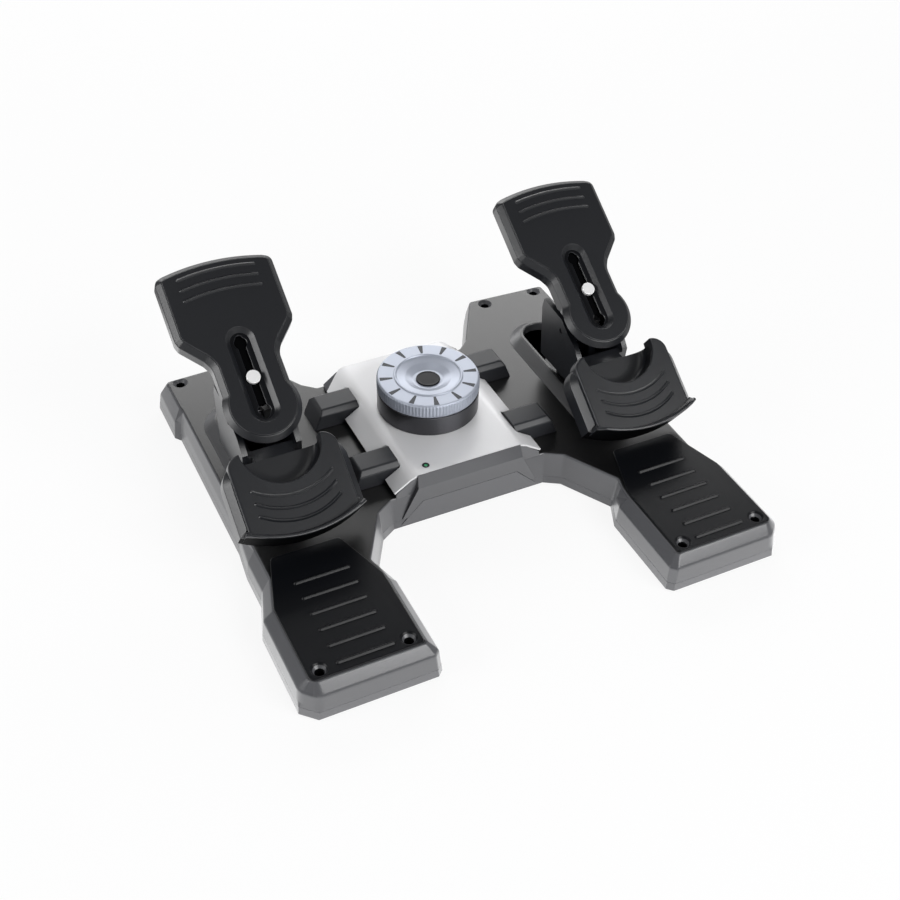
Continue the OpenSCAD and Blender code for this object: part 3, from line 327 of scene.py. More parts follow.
def spread(tree, value, low, high, to_low=0.0, to_high=1.0):
    """Maps the span from low to high to another span, and stays inside it."""
    made = add(tree, "MapRange", Value=value, From_Min=low, From_Max=high, To_Min=to_low, To_Max=to_high)
    return made.outputs["Result"]


def maths(tree, operation, *values):
    return add(tree, "Math", values, {"operation": operation}).outputs[0]


def scaled(tree, vector, factor):
    return add(tree, "VectorMath", [vector], {"operation": "SCALE"}, Scale=factor).outputs["Vector"]


def shown(tree):
    """1 for camera, glossy and transmission rays, else 0."""
    ray = add(tree, "LightPath").outputs
    seen = maths(tree, "MAXIMUM", ray["Is Camera Ray"], ray["Is Glossy Ray"])
    return maths(tree, "MAXIMUM", seen, ray["Is Transmission Ray"])


def shader(name, colour, rough, metal=0.0, specular=0.5, grain=0.0, grain_mm=0.35, vary=0.06, rough_vary=0.06,
           stretch=(1, 1, 1), coat=0.0, wear=0.0, deck=0.0):
    """Moulded or metal surface: fine grain in the bump, slow variation in colour and roughness.

    wear lightens convex edges. deck is the share of the colour that level faces keep, as painted shade on the
    decks, and with it the slopes on the left side shine less, as a painted dimming of their sheen.
    """
    mat = bpy.data.materials.new(name)
    mat.use_nodes = True
    tree = mat.node_tree
    links = tree.links
    bsdf = tree.nodes["Principled BSDF"]
    bsdf.inputs["Metallic"].default_value = metal
    bsdf.inputs["Specular IOR Level"].default_value = specular
    if coat:
        bsdf.inputs["Coat Weight"].default_value = coat
        bsdf.inputs["Coat Roughness"].default_value = 0.25
    where = add(tree, "TexCoord").outputs["Object"]
    at = add(tree, "Mapping", Vector=where, Scale=stretch).outputs["Vector"]
    slow = add(tree, "TexNoise", Vector=at, Scale=28, Detail=4).outputs["Fac"]
    fine = add(tree, "TexNoise", Vector=at, Scale=500 / grain_mm, Detail=3).outputs["Fac"]
    top = scaled(tree, colour, spread(tree, slow, 0, 1, 1 - vary, 1 + vary))
    if wear:
        edge = add(tree, "NewGeometry").outputs["Pointiness"]
        light = (*[min(1, c * 2.2 + 0.02) for c in colour], 1)
        top = add(tree, "Mix", (), {"data_type": "RGBA"}, Factor=spread(tree, edge, 0.52, 0.60, 0, wear), A=top,
                  B=light).outputs["Result"]
    if deck:
        # Painted shade: level faces keep only part of the colour, and slopes facing left get a painted dimming of their
        # sheen
        facing = add(tree, "SeparateXYZ", Vector=add(tree, "NewGeometry").outputs["True Normal"]).outputs
        top = scaled(tree, top, spread(tree, facing["Z"], 0.9, 0.99, 1, deck))
        painted_dim_sheen = maths(tree, "MULTIPLY", spread(tree, facing["X"], -0.5, -0.6), spread(tree, facing["Z"], 0.25, 0.35))
        links.new(spread(tree, painted_dim_sheen, 0, 1, specular, specular * 0.3), bsdf.inputs["Specular IOR Level"])
    links.new(top, bsdf.inputs["Base Color"])
    links.new(spread(tree, fine, 0, 1, rough - rough_vary, rough + rough_vary), bsdf.inputs["Roughness"])
    if grain:
        bump = add(tree, "Bump", Strength=grain, Distance=GRAIN_DEPTH, Height=fine)
        links.new(bump.outputs["Normal"], bsdf.inputs["Normal"])
    return mat


# Depth of the grain in metres
GRAIN_DEPTH = 0.00012
# The charcoal gets painted shade on its level faces and a painted dimming of the sheen on slopes facing left
CHARCOAL = shader("charcoal_plastic", (0.076, 0.077, 0.083), 0.31, grain=0.35, vary=0.04, wear=0.15, deck=0.05)
HOOD = shader("hood_plastic", (0.012, 0.013, 0.016), 0.42, specular=0.38, grain=0.3, vary=0.04, wear=0.3)
PAD = shader("black_pad", (0.003, 0.0034, 0.0045), 0.31, specular=0.15, grain=0.4, wear=0.3)
BLACK = shader("black_plastic", (0.006, 0.0068, 0.009), 0.34, specular=0.5, grain=0.3, wear=0.3)
# Near black that stands for painted shade in the screw bores, the key holes, the lever under them and the tray's front
# wall
PAINTED_SHADE_BLACK = shader("painted_shade_black", (0.0012, 0.0013, 0.0016), 0.6, specular=0.02, grain=0.3)
SILVER = shader("satin_silver", (0.70, 0.70, 0.71), 0.42, metal=0.22, grain=0.06, grain_mm=0.2, vary=0.015,
                stretch=(1, 0.06, 1))
DIAL = shader("dial_metal", (0.38, 0.41, 0.48), 0.36, metal=0.35, grain=0.05, vary=0.015)
DARK_METAL = shader("dark_metal", (0.085, 0.085, 0.092), 0.3, metal=1.0, vary=0.02, grain=0.03, rough_vary=0.02)
MARK = shader("mark_paint", (0.02, 0.023, 0.03), 0.5, vary=0.03)
STEEL = shader("steel", (0.56, 0.56, 0.57), 0.3, metal=1.0, vary=0.05, grain=0.05)
BRASS = shader("brass", (0.62, 0.44, 0.19), 0.32, metal=1.0, vary=0.06, grain=0.05)
RUBBER = shader("rubber", (0.02, 0.02, 0.021), 0.75, specular=0.25, grain=0.5, vary=0.1)
WHITE = shader("white_screw", (0.86, 0.86, 0.86), 0.25, metal=0.2, vary=0.02)
LAMP = shader("lamp_lens", (0.03, 0.30, 0.12), 0.2, coat=0.6, vary=0.1)
BOARD = shader("board_green", (0.02, 0.12, 0.05), 0.4, vary=0.15, coat=0.3)


# Base
HUB_FRONT = -43.5
# Centre, half width and half length of the slots under the pedals
SLOT_X, SLOT_Y, SLOT_HW, SLOT_HL = 158.4, 46, 17.5, 89
# The lamp and the dial's shaft in the silver plate
LED_AT, LED_HOLE_R, SHAFT_HOLE_R = (-38, -30), 2.9, 6.2
# Up to this height the heel corners go over from the flat cut of the lower housing to a full round
ROUND_FROM = 13.5
# x, y, height and width of the bevel, corner cut at the floor, corner cut at the deck, fillet
HALF = [
    (74, -43.5, 17, 4, 0, 0, 6), (88, -52, 17, 4, 0, 0, 6), (114, -97, 17, 4, 0, 0, 5), (110.5, -105, 20, 5.5, 0, 0, 4),
    (104, -120, 25, 10.5, 0, 0, 6), (104, -208, 25, 10.5, 5, 2, 3), (221.5, -208, 25, 10.5, 12, 5, 6),
    (221.5, -116, 25, 10.5, 0, 0, 8), (210.5, -82, 20, 9, 0, 0, 8), (210.5, -47, 20, 9, 0, 0, 8),
    (207, -17, 20, 5.5, 0, 0, 8), (207, 148, 20, 5.5, 0, 0, 2.5), (211.5, 154, 20, 9, 0, 0, 2.5),
    (211.5, 208, 20, 9, 4, 2, 4), (118, 208, 20, 5.5, 0, 0, 4), (84, 146, 20, 4, 0, 0, 6), (74, 137, 20, 4, 0, 0, 5),
]
OUTLINE = HALF + [(-p[0], *p[1:]) for p in HALF[::-1]]
# Thickness of the housing and of the heel cup's tray
WALL = 3


def base_rings(part, radius=2.0):
    """Rings of the housing from the parting line up. Each corner has its own bevel, and the walls lean in by 2."""
    profiles = []
    for p in OUTLINE:
        low, wide = p[2], p[3]
        draft = 2 * (PARTING - 2) / (low - 2)
        higher = 2 * (ROUND_FROM - 2) / (low - 2)
        raw = [(draft + 0.12, PARTING), (draft, PARTING + 0.3), (higher, ROUND_FROM), (2, low), (wide, DECK),
               (wide + 6, DECK)]
        if part == "inner":
            raw = [(draft + WALL, PARTING - 1), (draft + WALL, PARTING - 0.5), (higher + WALL, ROUND_FROM),
                   (2 + WALL, low), (wide + 1.5, DECK - WALL), (wide + 2, DECK - WALL)]
        profiles.append(soft_profile(raw, [0, 0, 0, radius, radius, 0])[:-1])
    rings = []
    for k in range(len(profiles[0])):
        flat = inset(OUTLINE, [q[k][0] for q in profiles])
        pts, radii = [], []
        share = k / (len(profiles[0]) - 1)
        for i, p in enumerate(OUTLINE):
            c = p[4] + (p[5] - p[4]) * max(0, (profiles[i][k][1] - p[2]) / (DECK - p[2]))
            a, e = flat[i - 1], flat[(i + 1) % len(flat)]
            z = profiles[i][k][1]
            if p[4]:
                for other in (a, e):
                    q = flat[i] + c * (other - flat[i]).normalized()
                    pts.append(Vector((q.x, q.y, z)))
                    full = min(1, max(0, (z - PARTING - 0.3) / (ROUND_FROM - PARTING - 0.3)))
                    round_r = 2 + (c * 1.05 - 2) * full
                    radii.append(round_r if p[4] > 8 else 2 + share)
            else:
                pts.append(Vector((flat[i].x, flat[i].y, z)))
                radii.append(p[6])
        rings.append(rounded(pts, radii, 3))
    return rings


def hub_section(drop, side):
    """Section of the block under the silver plate, that much lower and narrower than the plate's outside."""
    half = [(PLATE - 13 - drop, 72 - side), (PLATE - 3 - drop, 57), (PLATE - drop, 50)]
    right = [Vector((72 - side, 20))] + [Vector((x, z)) for z, x in half]
    return right + [Vector((-p.x, p.y)) for p in right[::-1]]


def along_y(name, section, y0, y1):
    """Prism along Y from a section in X and Z."""
    return loft(name, [[Vector((p[0], -y1 if k else -y0, p[1])) for p in section] for k in (0, 1)],
                Matrix.Diagonal((1, -1, 1, 1)))


FIX_HEEL, FIX_BACK = ((126, -188), (200, -188)), ((134, 192.5), (191, 192.5))


def sink_tool(name, x, y, top):
    """Countersunk bore with a soft mouth."""
    prof = [(0, 5), (3, 5), (3, top - 4), (6.6, top - 0.4), (7.3, top + 0.05), (7.8, top + 1), (0, top + 1)]
    return lathe(name, prof, 40, Matrix.Translation((x, y, 0)))


def tongue_section(grow, drop):
    """Section of the lower housing's tongue at the front, wider by grow and longer at its foot by drop."""
    slope = (62 - 46) / (25.5 - 9.5)
    foot = 62 + grow + drop * slope
    return [Vector((-foot, 9.5 - drop)), Vector((foot, 9.5 - drop)), Vector((46 + grow, 25.5 + grow)),
            Vector((-46 - grow, 25.5 + grow))]


shell = loft("shell", base_rings("outer"))
tools = [loft("t_inner", base_rings("inner", 0))]
tools += [prism("t_slot%d" % s, stadium(SLOT_HW + 1.5, SLOT_HL + 1.5, 20, (s * SLOT_X, SLOT_Y)), 0, 60)
          for _, s in SIDES]
tools.append(along_y("t_hub", hub_section(5, 5), HUB_FRONT + 7.5, 127))
tools.append(along_y("t_tongue", tongue_section(0.35, 1), HUB_FRONT - 1, HUB_FRONT + 5.3))
tools += [sink_tool("t_fix%d%d" % (s, k), s * x, y, DECK) for _, s in SIDES for k, (x, y) in
          enumerate(FIX_HEEL + FIX_BACK)]
cut(shell, *tools)

# Block under the plate, with its bevelled front face
core = along_y("core", hub_section(2, 2), HUB_FRONT + 4.2, 130)
cut(core, along_y("t_core", hub_section(5, 5), HUB_FRONT + 7.5, 127),
    prism("t_led", circle(LED_HOLE_R, 32, LED_AT), 30, 60),
    prism("t_shaft", circle(SHAFT_HOLE_R, 32, (0, MID_Y)), 30, 60))
face_rings = [
    [(-66, HUB_FRONT, 10.5), (66, HUB_FRONT, 10.5), (66, -39.2, 10.5), (-66, -39.2, 10.5)],
    [(-51, HUB_FRONT, 41), (51, HUB_FRONT, 41), (51, -39.2, 41), (-51, -39.2, 41)],
    [(-50, -39.6, 52.9), (50, -39.6, 52.9), (50, -39.2, 52.9), (-50, -39.2, 52.9)],
]
front = bevelled(loft("front", [[Vector(p) for p in r] for r in face_rings]), 1.0, 3, 15)
cut(front, along_y("t_tongue2", tongue_section(0.35, 1), HUB_FRONT - 1, HUB_FRONT + 5.3))

# Raised rims round the slots
rims = []
for _, s in SIDES:
    rings = []
    at = (s * SLOT_X, SLOT_Y)
    lay = [(34, 33.2), (33.4, 34.2), (31.5, 34.95), (22.2, 38.4), (21.1, 38.87), (20.2, 39), (18.9, 39), (18.1, 38.75),
           (17.5, 38.1), (17.5, 30.6), (19.5, 30.6), (19.5, 33.2)]
    for hw, z in lay:
        # Past the crest the rim spreads more to the sides than to the ends
        hl = 92 + 7 * min(1, (hw - 20.5) / 13.5) if hw > 20.5 else 92 - (20.5 - hw)
        rings.append(level(stadium(hw, hl, 20, at), z))
    rims.append(tube("rim%d" % s, rings))
bosses = []
for _, s in SIDES:
    for k, (x, y) in enumerate(FIX_HEEL + FIX_BACK):
        at = (s * x, y)
        bosses.append(tube("boss%d%d" % (s, k), [level(circle(r, 32, at), z) for r, z in
                                                 ((6.5, 5.3), (6.5, 31.5), (3.05, 29.6), (3.05, 5.3))]))
upper = merged("upper_shell", shell, core, front, *rims, *bosses)
finish(upper, CHARCOAL, "base", 28, ["upper_housing"])
# The screw bores are painted shade black inside
repaint(upper, [PAINTED_SHADE_BLACK], lambda c, n: int(
    c.z < 31.4 and any(math.hypot(abs(c.x) - x, c.y - y) < 5 for x, y in FIX_HEEL + FIX_BACK)))

dress("lower_housing", CHARCOAL, 0.12, 1)
dress("rubber_feet", RUBBER, 0.5)
dress("cable_gland", RUBBER, 0.5)
dress("housing_screws", STEEL, 0.25)

# Black pads with their ribs
PAD_RIBS, PAD_PITCH = 6, 17.9
pads = []
for _, s in SIDES:
    corners = [(116, -197), (210, -197), (210, -116), (194, -63), (133, -63), (116, -116)]
    if s < 0:
        corners = [(-x, y) for x, y in corners[::-1]]
    flat = lambda d: rounded(inset(corners, d), 5, 5)
    pad = loft("pad%d" % s, [level(flat(0.1), DECK - 0.4), level(flat(0), DECK + 0.4), level(flat(0.15), DECK + 0.8),
                             level(flat(0.45), DECK + 1.08), level(flat(0.9), DECK + 1.2)])
    cut(pad, *[sink_tool("t_pad%d%d" % (s, k), s * x, y, DECK + 1.2) for k, (x, y) in enumerate(FIX_HEEL)])
    pads.append(pad)
    for k in range(PAD_RIBS):
        line = [Vector((s * 162 + p.y, -188 + PAD_PITCH * k - p.x)) for p in stadium(1.8, 24.6, 8)]
        pads.append(domed("rib%d%d" % (s, k), line, 1.75, z=DECK + 1.2, width=1.7))
finish(merged("foot_pads", *pads), PAD, "base", 40, ["heel_pads"])


# Hub plate, hoods and dial
def plate_section():
    """Bent sheet, 2 mm thick, with soft bends."""
    def half(d):
        raw = [(0, 53 - d), (50 - d * 0.3, 53 - d), (57 - d * 0.45, 50 - d * 0.95), (72 - d * 0.55, 40 - d * 0.8)]
        return soft_profile([Vector(p) for p in raw], [0, 4, 3, 0], 5)[1:]
    outer, inner = half(0), half(2)
    left = [Vector((-p.x, p.y)) for p in outer[::-1]]
    left_in = [Vector((-p.x, p.y)) for p in inner]
    return outer + inner[::-1] + left_in + left


def plate_mesh():
    """The sheet with its cut-outs for the hoods, the lamp and the shaft, and with cut rear corners."""
    obj = along_y("plate", plate_section(), HUB_FRONT + 4.45, 130)
    tools = []
    for _, s in SIDES:
        for y in (FRONT_Y, REAR_Y):
            x0, x1 = sorted((s * 56.8, s * 90))
            tools.append(bevelled(block("t_n%d%d" % (s, y), (x0, y - 16.2, 30), (x1, y + 16.2, 60)), 2, 3))
        corner = [(s * 75, 114), (s * 75, 133), (s * 54, 133), (s * 54, 130)]
        tools.append(prism("t_c%d" % s, corner if s > 0 else corner[::-1], 30, 60))
    tools.append(prism("t_pl", circle(LED_HOLE_R, 32, LED_AT), 30, 60))
    tools.append(prism("t_ps", circle(SHAFT_HOLE_R, 32, (0, MID_Y)), 30, 60))
    return cut(obj, *tools)


finish(bevelled(plate_mesh(), 0.35, 2, 40), SILVER, "base", 28, ["hub_plate"])

for kind, y in (("front", FRONT_Y), ("rear", REAR_Y)):
    hoods = []
    for _, s in SIDES:
        y0, y1, c = y - 15, y + 15, 4.5
        rings = [
            [(52, y0, 33.5), (101, y0, 33.5), (101, y1, 33.5), (52, y1, 33.5)],
            [(52, y0, 48.5), (95, y0, 48.5), (95, y1, 48.5), (52, y1, 48.5)],
            [(52, y0 + c, 53), (92, y0 + c, 53), (92, y1 - c, 53), (52, y1 - c, 53)],
        ]
        turn = Matrix.Diagonal((s, 1, 1, 1))
        h = bevelled(loft("hood%s%d" % (kind, s), [[Vector(p) for p in r] for r in rings], turn), 1.3, 4, 15)
        # The hood starts in the notch of the plate
        low = [(p[0] * s, p[1]) for p in [(40, 30), (57.2, 30), (57.2, 49), (57.2, 60), (40, 60)]]
        hoods.append(cut(h, along_y("t_h%s%d" % (kind, s), low, y0 - 3, y1 + 3)))
    finish(merged(kind + "_link_hoods", *hoods), HOOD, "base", 28, [kind + "_hoods"])

top = Matrix.Translation((0, MID_Y, 0))


def ring_lathe(name, profile, n, place):
    """Ring of revolution about Z from a closed profile of (radius, height)."""
    return tube(name, [level(circle(r, n), z) for r, z in profile], place)


collar = ring_lathe("collar_ring", [(5.06, 53.05), (45.6, 53.05), (46.1, 53.25), (46.3, 53.8), (46.3, 71.6),
                                    (46.15, 72.1), (45.7, 72.4), (44.0, 72.4), (43.4, 72.1), (43.3, 71.6),
                                    (43.3, 56.6), (42.8, 56), (10.4, 56), (10.0, 56.4), (10.0, 72.0), (9.6, 72.4),
                                    (5.06, 72.4)], 160, top)
finish(collar, DARK_METAL, "base", 30, ["knob_collar"])

# Ridges round the rim of the dial, points to each and their depth
KNURLS, KNURL_STEPS, KNURL_DEPTH = 96, 8, 0.5


def knurl(i, r, z):
    """Rounded ridges on the rim of the dial."""
    if r < 45.9 or not 74.0 < z < 84.6:
        return 0.0
    return -KNURL_DEPTH * (0.5 - 0.5 * math.cos(2 * math.pi * i / KNURL_STEPS)) ** 0.7


dial_prof = [(0, 76.3), (12, 76.3), (12, 72.75), (42.6, 72.75), (45.3, 72.75), (45.75, 73.0), (45.85, 73.6),
             (46.0, 74.0), (46.55, 74.4), (46.6, 75.0), (46.6, 83.6), (46.55, 84.2), (46.0, 84.55), (45.7, 85.0),
             (45.3, 85.55), (44.7, 85.85), (43.9, 85.9), (31.6, 85.9), (31.2, 86.1), (30.9, 86.6), (30.4, 86.95),
             (29.8, 86.95), (29.3, 86.6), (28.8, 85.75), (28.0, 85.35), (21.6, 84.1), (20.4, 83.7), (19.4, 83.1),
             (14.4, 80.95), (13.4, 80.72), (12.5, 80.7), (0, 80.7)]
dial = lathe("dial", dial_prof, KNURLS * KNURL_STEPS, top, knurl)
finish(dial, DIAL, "dial", 50, ["tension_dial"])
MARKS = 12
marks = []
for k in range(MARKS):
    t = 2 * math.pi * (k + 0.5) / MARKS
    outline = rounded([(32.4, -1.0, 0), (44.0, -2.5, 0), (44.0, 2.5, 0), (32.4, 1.0, 0)], 0.5, 3)
    outline = [Vector((p.x, p.y)) for p in outline]
    turn = top @ Matrix.Rotation(t, 4, "Z")
    marks.append(loft("mark%d" % k, [level(outline, 85.6), level(outline, 85.94), level(inset(outline, 0.06), 86.0)],
                      turn))
finish(merged("dial_marks", *marks), MARK, "dial", 40)
cap = lathe("centre_disc", [(0, 80.65), (10.5, 80.65), (10.95, 80.8), (11.0, 81.3), (10.85, 81.7), (10.4, 81.85),
                            (9.6, 81.9), (9.1, 81.78), (8.6, 81.75), (0, 81.8)], 96, top)
finish(cap, PAD, "dial", 40, ["dial_cap"])

led = Matrix.Translation((*LED_AT, 0))
ring = ring_lathe("lamp_ring", [(1.75, 53.02), (3.2, 53.02), (3.3, 53.15), (3.2, 53.35), (2.6, 53.45), (1.95, 53.4),
                                (1.75, 53.25)], 40, led)
finish(ring, BLACK, "base", 40)
lens = lathe("lamp_lens", [(0, 37.7), (1.65, 37.7), (1.7, 38), (1.7, 52.9), (1.6, 53.2), (1.1, 53.5), (0, 53.6)], 40,
             led)
finish(lens, LAMP, "base", 50, ["status_led"])

# Pedals
TOE = Matrix.Translation((0, -50.04, 75.87)) @ Matrix.Rotation(math.radians(31.8), 4, "X")
CUP = Matrix.Translation((0, -54.86, 75.85)) @ Matrix.Rotation(math.radians(34.36), 4, "X")


def arc(centre, r, a0, a1, n):
    return [Vector((centre[0] + r * math.cos(math.radians(a0 + (a1 - a0) * k / n)),
                    centre[1] + r * math.sin(math.radians(a0 + (a1 - a0) * k / n)))) for k in range(n + 1)]


# Toe plate, along its slope: the round lower end, the half width of its waist, and the head with its curved top
DISC_Y, DISC_R, WAIST_HW = 88, 33.5, 29.5
HEAD_HW, HEAD_CORNER, HEAD_Y, HEAD_ARC_Y, HEAD_ARC_R = 52, 7, 213.5, 36.5, 190
# Heel cup: the arc of its front edge and the round bowl
CUP_ARC_Y, CUP_ARC_R, BOWL_Y, BOWL_R = 85, 110, 56, 35
# Its lip: half width, height and steps along it, and the radius of its ribs
LIP_HW, LIP_H, LIP_STEPS, CUP_RIB_R = 51.2, 9, 40, 60
# Ribs of both: three, with their width, height and pitches
RIBS, RIB_W, RIB_H, TOE_PITCH, CUP_PITCH = 3, 3.2, 1.35, 9.8, 10.7


def toe_outline():
    end = math.degrees(math.acos(WAIST_HW / DISC_R))
    top_turn = 90 - math.degrees(math.asin((HEAD_HW - HEAD_CORNER) / HEAD_ARC_R))
    half = arc((0, DISC_Y), DISC_R, -90, end, 22)
    half += rounded([(WAIST_HW, 104, 0), (WAIST_HW, 130, 0), (34, 138, 0), (50, 155.5, 0), (HEAD_HW, 161, 0),
                     (HEAD_HW, 200, 0)], [0, 16, 10, 7, 7, 0], 5)[1:-1]
    half = [Vector(p[:2]) for p in half]
    half += arc((HEAD_HW - HEAD_CORNER, HEAD_Y), HEAD_CORNER, 0, top_turn, 7)
    half += arc((0, HEAD_ARC_Y), HEAD_ARC_R, top_turn, 90, 12)
    clean = [half[0]]
    for p in half[1:]:
        if (p - clean[-1]).length > 0.25:
            clean.append(p)
    return both_halves(clean)


def key_outline():
    """Key hole of the toe plate: a slot that runs on past a round hole near each end."""
    half = arc((0, 79.85), 3.3, -90, -11.9, 6)[:-1] + arc((0, 83.5), 5.4, -53.2, 52.3, 12)
    half += arc((0, 146), 5.4, -52.3, 53.2, 12) + arc((0, 149.65), 3.3, 11.9, 90, 6)[1:]
    return both_halves(half)


def toe_plate(side, s):
    place = Matrix.Translation((s * LINK_R, 0, 0)) @ TOE
    line = toe_outline()
    prof = soft_profile([(0.5, -17), (0, -16.4), (0, -5.8), (4.6, -1.1), (5.1, -1.0), (5.5, -0.1), (6, 0), (9, 0)],
                        [0, 0, 0.8, 0.15, 0.15, 0.3, 0.3, 0], 3)[:-1]
    plate = loft("toe%s" % side, [level(inset(line, d), n) for d, n in prof], place)
    inner = loft("t_ti%s" % side, [level(inset(line, 3), -18), level(inset(line, 3), -8), level(inset(line, 6.5), -3)],
                 place)
    cut(inner, prism("t_tb%s" % side, stadium(15, 46.5, 16, (0, 115.5)), -6.5, 2, place))
    mouth = [(d, d + 31.5, n) for d, n in ((13.6, 1), (13.3, 0.12), (12.8, 0.0), (12.3, -0.3), (11.8, -0.8),
                                           (9.3, -3.3), (8.9, -3.7), (8.5, -4))]
    pocket = loft("t_tp%s" % side, [level(stadium(a, b, 16, (0, 115.5)), z) for a, b, z in mouth[::-1]], place)
    slot = loft("t_ts%s" % side, [level(inset(key_outline(), -g), z) for g, z in
                                  ((0, -21), (0, -4.6), (0.6, -3.95), (0.6, 2))], place)
    neck = loft("t_tn%s" % side, [[Vector((x, p[0], p[1])) for p in ((30, -5.5), (96, -5.5), (108, -17.6), (30, -17.6))]
                                  for x in (60, -60)], place)
    cut(plate, inner, pocket, slot, neck)
    ribs = [domed("trib%s%d" % (side, k), bow(HEAD_ARC_R - 11 - TOE_PITCH * k, HEAD_ARC_Y, 33.5, RIB_W, 1), RIB_H,
                  place, width=1.45) for k in range(RIBS)]

    def pick(c, n):
        """Painted shade: walls of the key hole 1, floor of the pocket 2."""
        if abs(c.x) > 8.8 or not 75 < c.y < 156:
            return 0
        return 1 if c.z < -4.45 else 2 * int(c.z < -3.95 and n.z > 0.95)

    cover = finish(merged("toe_cover_" + side, plate, *ribs), BLACK, "plate_" + side, 30, ["toe_plate_" + side])
    repaint(cover, [PAINTED_SHADE_BLACK, PAD], pick, place)


def cup_outline(half_w, top_y, corner):
    """Outline of the heel cup's face or tray, before the bowl is cut."""
    low = math.degrees(math.asin(half_w / CUP_ARC_R))
    half = arc((0, CUP_ARC_Y), CUP_ARC_R, -90, -90 + low, 18)
    return both_halves(half + arc((half_w - corner, top_y - corner), corner, 0, 90, 10))


def heel_cup(side, s):
    place = Matrix.Translation((s * LINK_R, 0, 0)) @ CUP
    line, tray = cup_outline(47.5, 54.5, 13), cup_outline(54, 50, 19)
    face = loft("cup%s" % side, [level(inset(line, d), n) for d, n in
                                 ((0, -15.2), (0, -2.2), (0.25, -1.1), (0.8, -0.35), (1.6, -0.05), (2.2, 0))], place)
    mouth = [(0, -17), (35, -17), (35, -1.7), (35.15, -0.9), (35.55, -0.3), (36.2, 0), (37.2, 0.4), (0, 0.4)]
    bowl_place = place @ Matrix.Translation((0, BOWL_Y, 0))
    cut(face, lathe("t_cn%s" % side, mouth, 96, bowl_place))
    body = loft("tray%s" % side, [level(inset(tray, d), n) for d, n in
                                  ((1.2, -26.5), (0.4, -26.1), (0, -25.3), (0, -9.6), (0.15, -9.1), (0.5, -8.6),
                                   (5.6, -3.5), (6.1, -3.2), (6.7, -3.2))], place)
    hollow = loft("t_cu%s" % side, [level(inset(tray, 3), -29), level(inset(tray, 3), -18)], place)
    cut(hollow, prism("t_cw%s" % side, circle(BOWL_R + WALL, 64, (0, BOWL_Y)), -40, 5, place))
    bowl = [(0, -24), (22, -24), (28, -23.6), (31.5, -22.4), (33.6, -20.6), (34.6, -18.2), (35, -15.5), (35, 3), (0, 3)]
    cut(body, hollow, lathe("t_cd%s" % side, bowl, 96, bowl_place))
    rib_y = CUP_ARC_Y - CUP_ARC_R + 35 + CUP_RIB_R
    ribs = [domed("crib%s%d" % (side, k), bow(CUP_RIB_R, rib_y - CUP_PITCH * k, 34.5, RIB_W, -1), RIB_H, place,
                  width=1.45) for k in range(RIBS)]
    # The lip follows the arc of the front edge and is lower at its two ends
    reach = math.degrees(math.asin(LIP_HW / CUP_ARC_R))
    rings = []
    for k in range(LIP_STEPS + 1):
        t = math.radians(-90 - reach + 2 * reach * k / LIP_STEPS)
        d = Vector((math.cos(t), math.sin(t)))
        h = LIP_H * min(1, 0.55 + 0.15 * min(k, LIP_STEPS - k))
        section = [(-1.6, -15), (1.6, -15), (1.6, h - 1.4), (1.2, h - 0.45), (0.4, h), (-0.4, h), (-1.2, h - 0.45),
                   (-1.6, h - 1.4), (-1.6, 2.2), (-2.9, 0.5), (-4.1, -0.3), (-4.1, -2)]
        rings.append([Vector((d.x * (CUP_ARC_R + r), CUP_ARC_Y + d.y * (CUP_ARC_R + r), z)) for r, z in section])
    lip = loft("lip%s" % side, rings, place)
    rest = finish(merged("heel_rest_" + side, face, body, lip, *ribs), BLACK, "pedal_" + side, 30,
                  ["heel_cup_" + side])
    # The front wall of the tray is painted shade black
    repaint(rest, [PAINTED_SHADE_BLACK], lambda c, n: int(c.z < -3 and n.y < -0.8), place)


for side, s in SIDES:
    toe_plate(side, s)
    heel_cup(side, s)
    dress("carriage_" + side, BLACK, 1.0, 3)
    # The lever seen through the key hole is painted shade black
    dress("toe_lever_" + side, PAINTED_SHADE_BLACK, 0.6)
    dress("clamp_screw_" + side, WHITE, 0.5, 3)
    dress("brake_axle_" + side, DARK_METAL, 0.25)
    dress("link_pins_" + side, STEEL, 0.3)
    dress("heel_cup_screws_" + side, STEEL, 0.3)
    dress("brake_spring_" + side, STEEL, 0)
    dress("brake_sensor_" + side, BLACK, 0.4)

for node, material in (("circuit_board", BOARD), ("board_screws", STEEL), ("front_pivot_post", STEEL),
                       ("rear_pivot_post", STEEL), ("centring_spring", STEEL), ("rudder_sensor", BLACK),
                       ("tension_shaft", STEEL), ("friction_pad", RUBBER), ("front_link_bar", STEEL),
                       ("front_bushing", BRASS), ("rear_link_bar", STEEL), ("rear_bushing", BRASS),
                       ("sensor_bracket", STEEL)):
    dress(node, material, 0.3)

# Camera, floor and light
# Fitted to the straight edges in the photo: focal length in its pixels, point aimed at and distance from it
PHOTO_PX, FOCAL_PX = 900, 1309.46
AIM, DISTANCE = Vector((-3.17, -7.03, 39.99)), 1169.7
azimuth, elevation, roll = (math.radians(v) for v in (-27.06, 40.77, 1.79))
back = Vector((math.sin(azimuth) * math.cos(elevation), -math.cos(azimuth) * math.cos(elevation), math.sin(elevation)))
right = Vector((math.cos(azimuth), math.sin(azimuth), 0))
up = back.cross(right)
r2 = math.cos(roll) * right + math.sin(roll) * up
u2 = -math.sin(roll) * right + math.cos(roll) * up
camera = bpy.data.objects.new("camera", bpy.data.cameras.new("camera"))
scene.collection.objects.link(camera)
camera.data.sensor_width = 36
camera.data.lens = FOCAL_PX * camera.data.sensor_width / PHOTO_PX
camera.data.clip_start, camera.data.clip_end = 0.05, 60
place = Matrix((r2, u2, back)).transposed().to_4x4()
place.translation = (AIM + back * DISTANCE) * MM
camera.matrix_world = place
scene.camera = camera


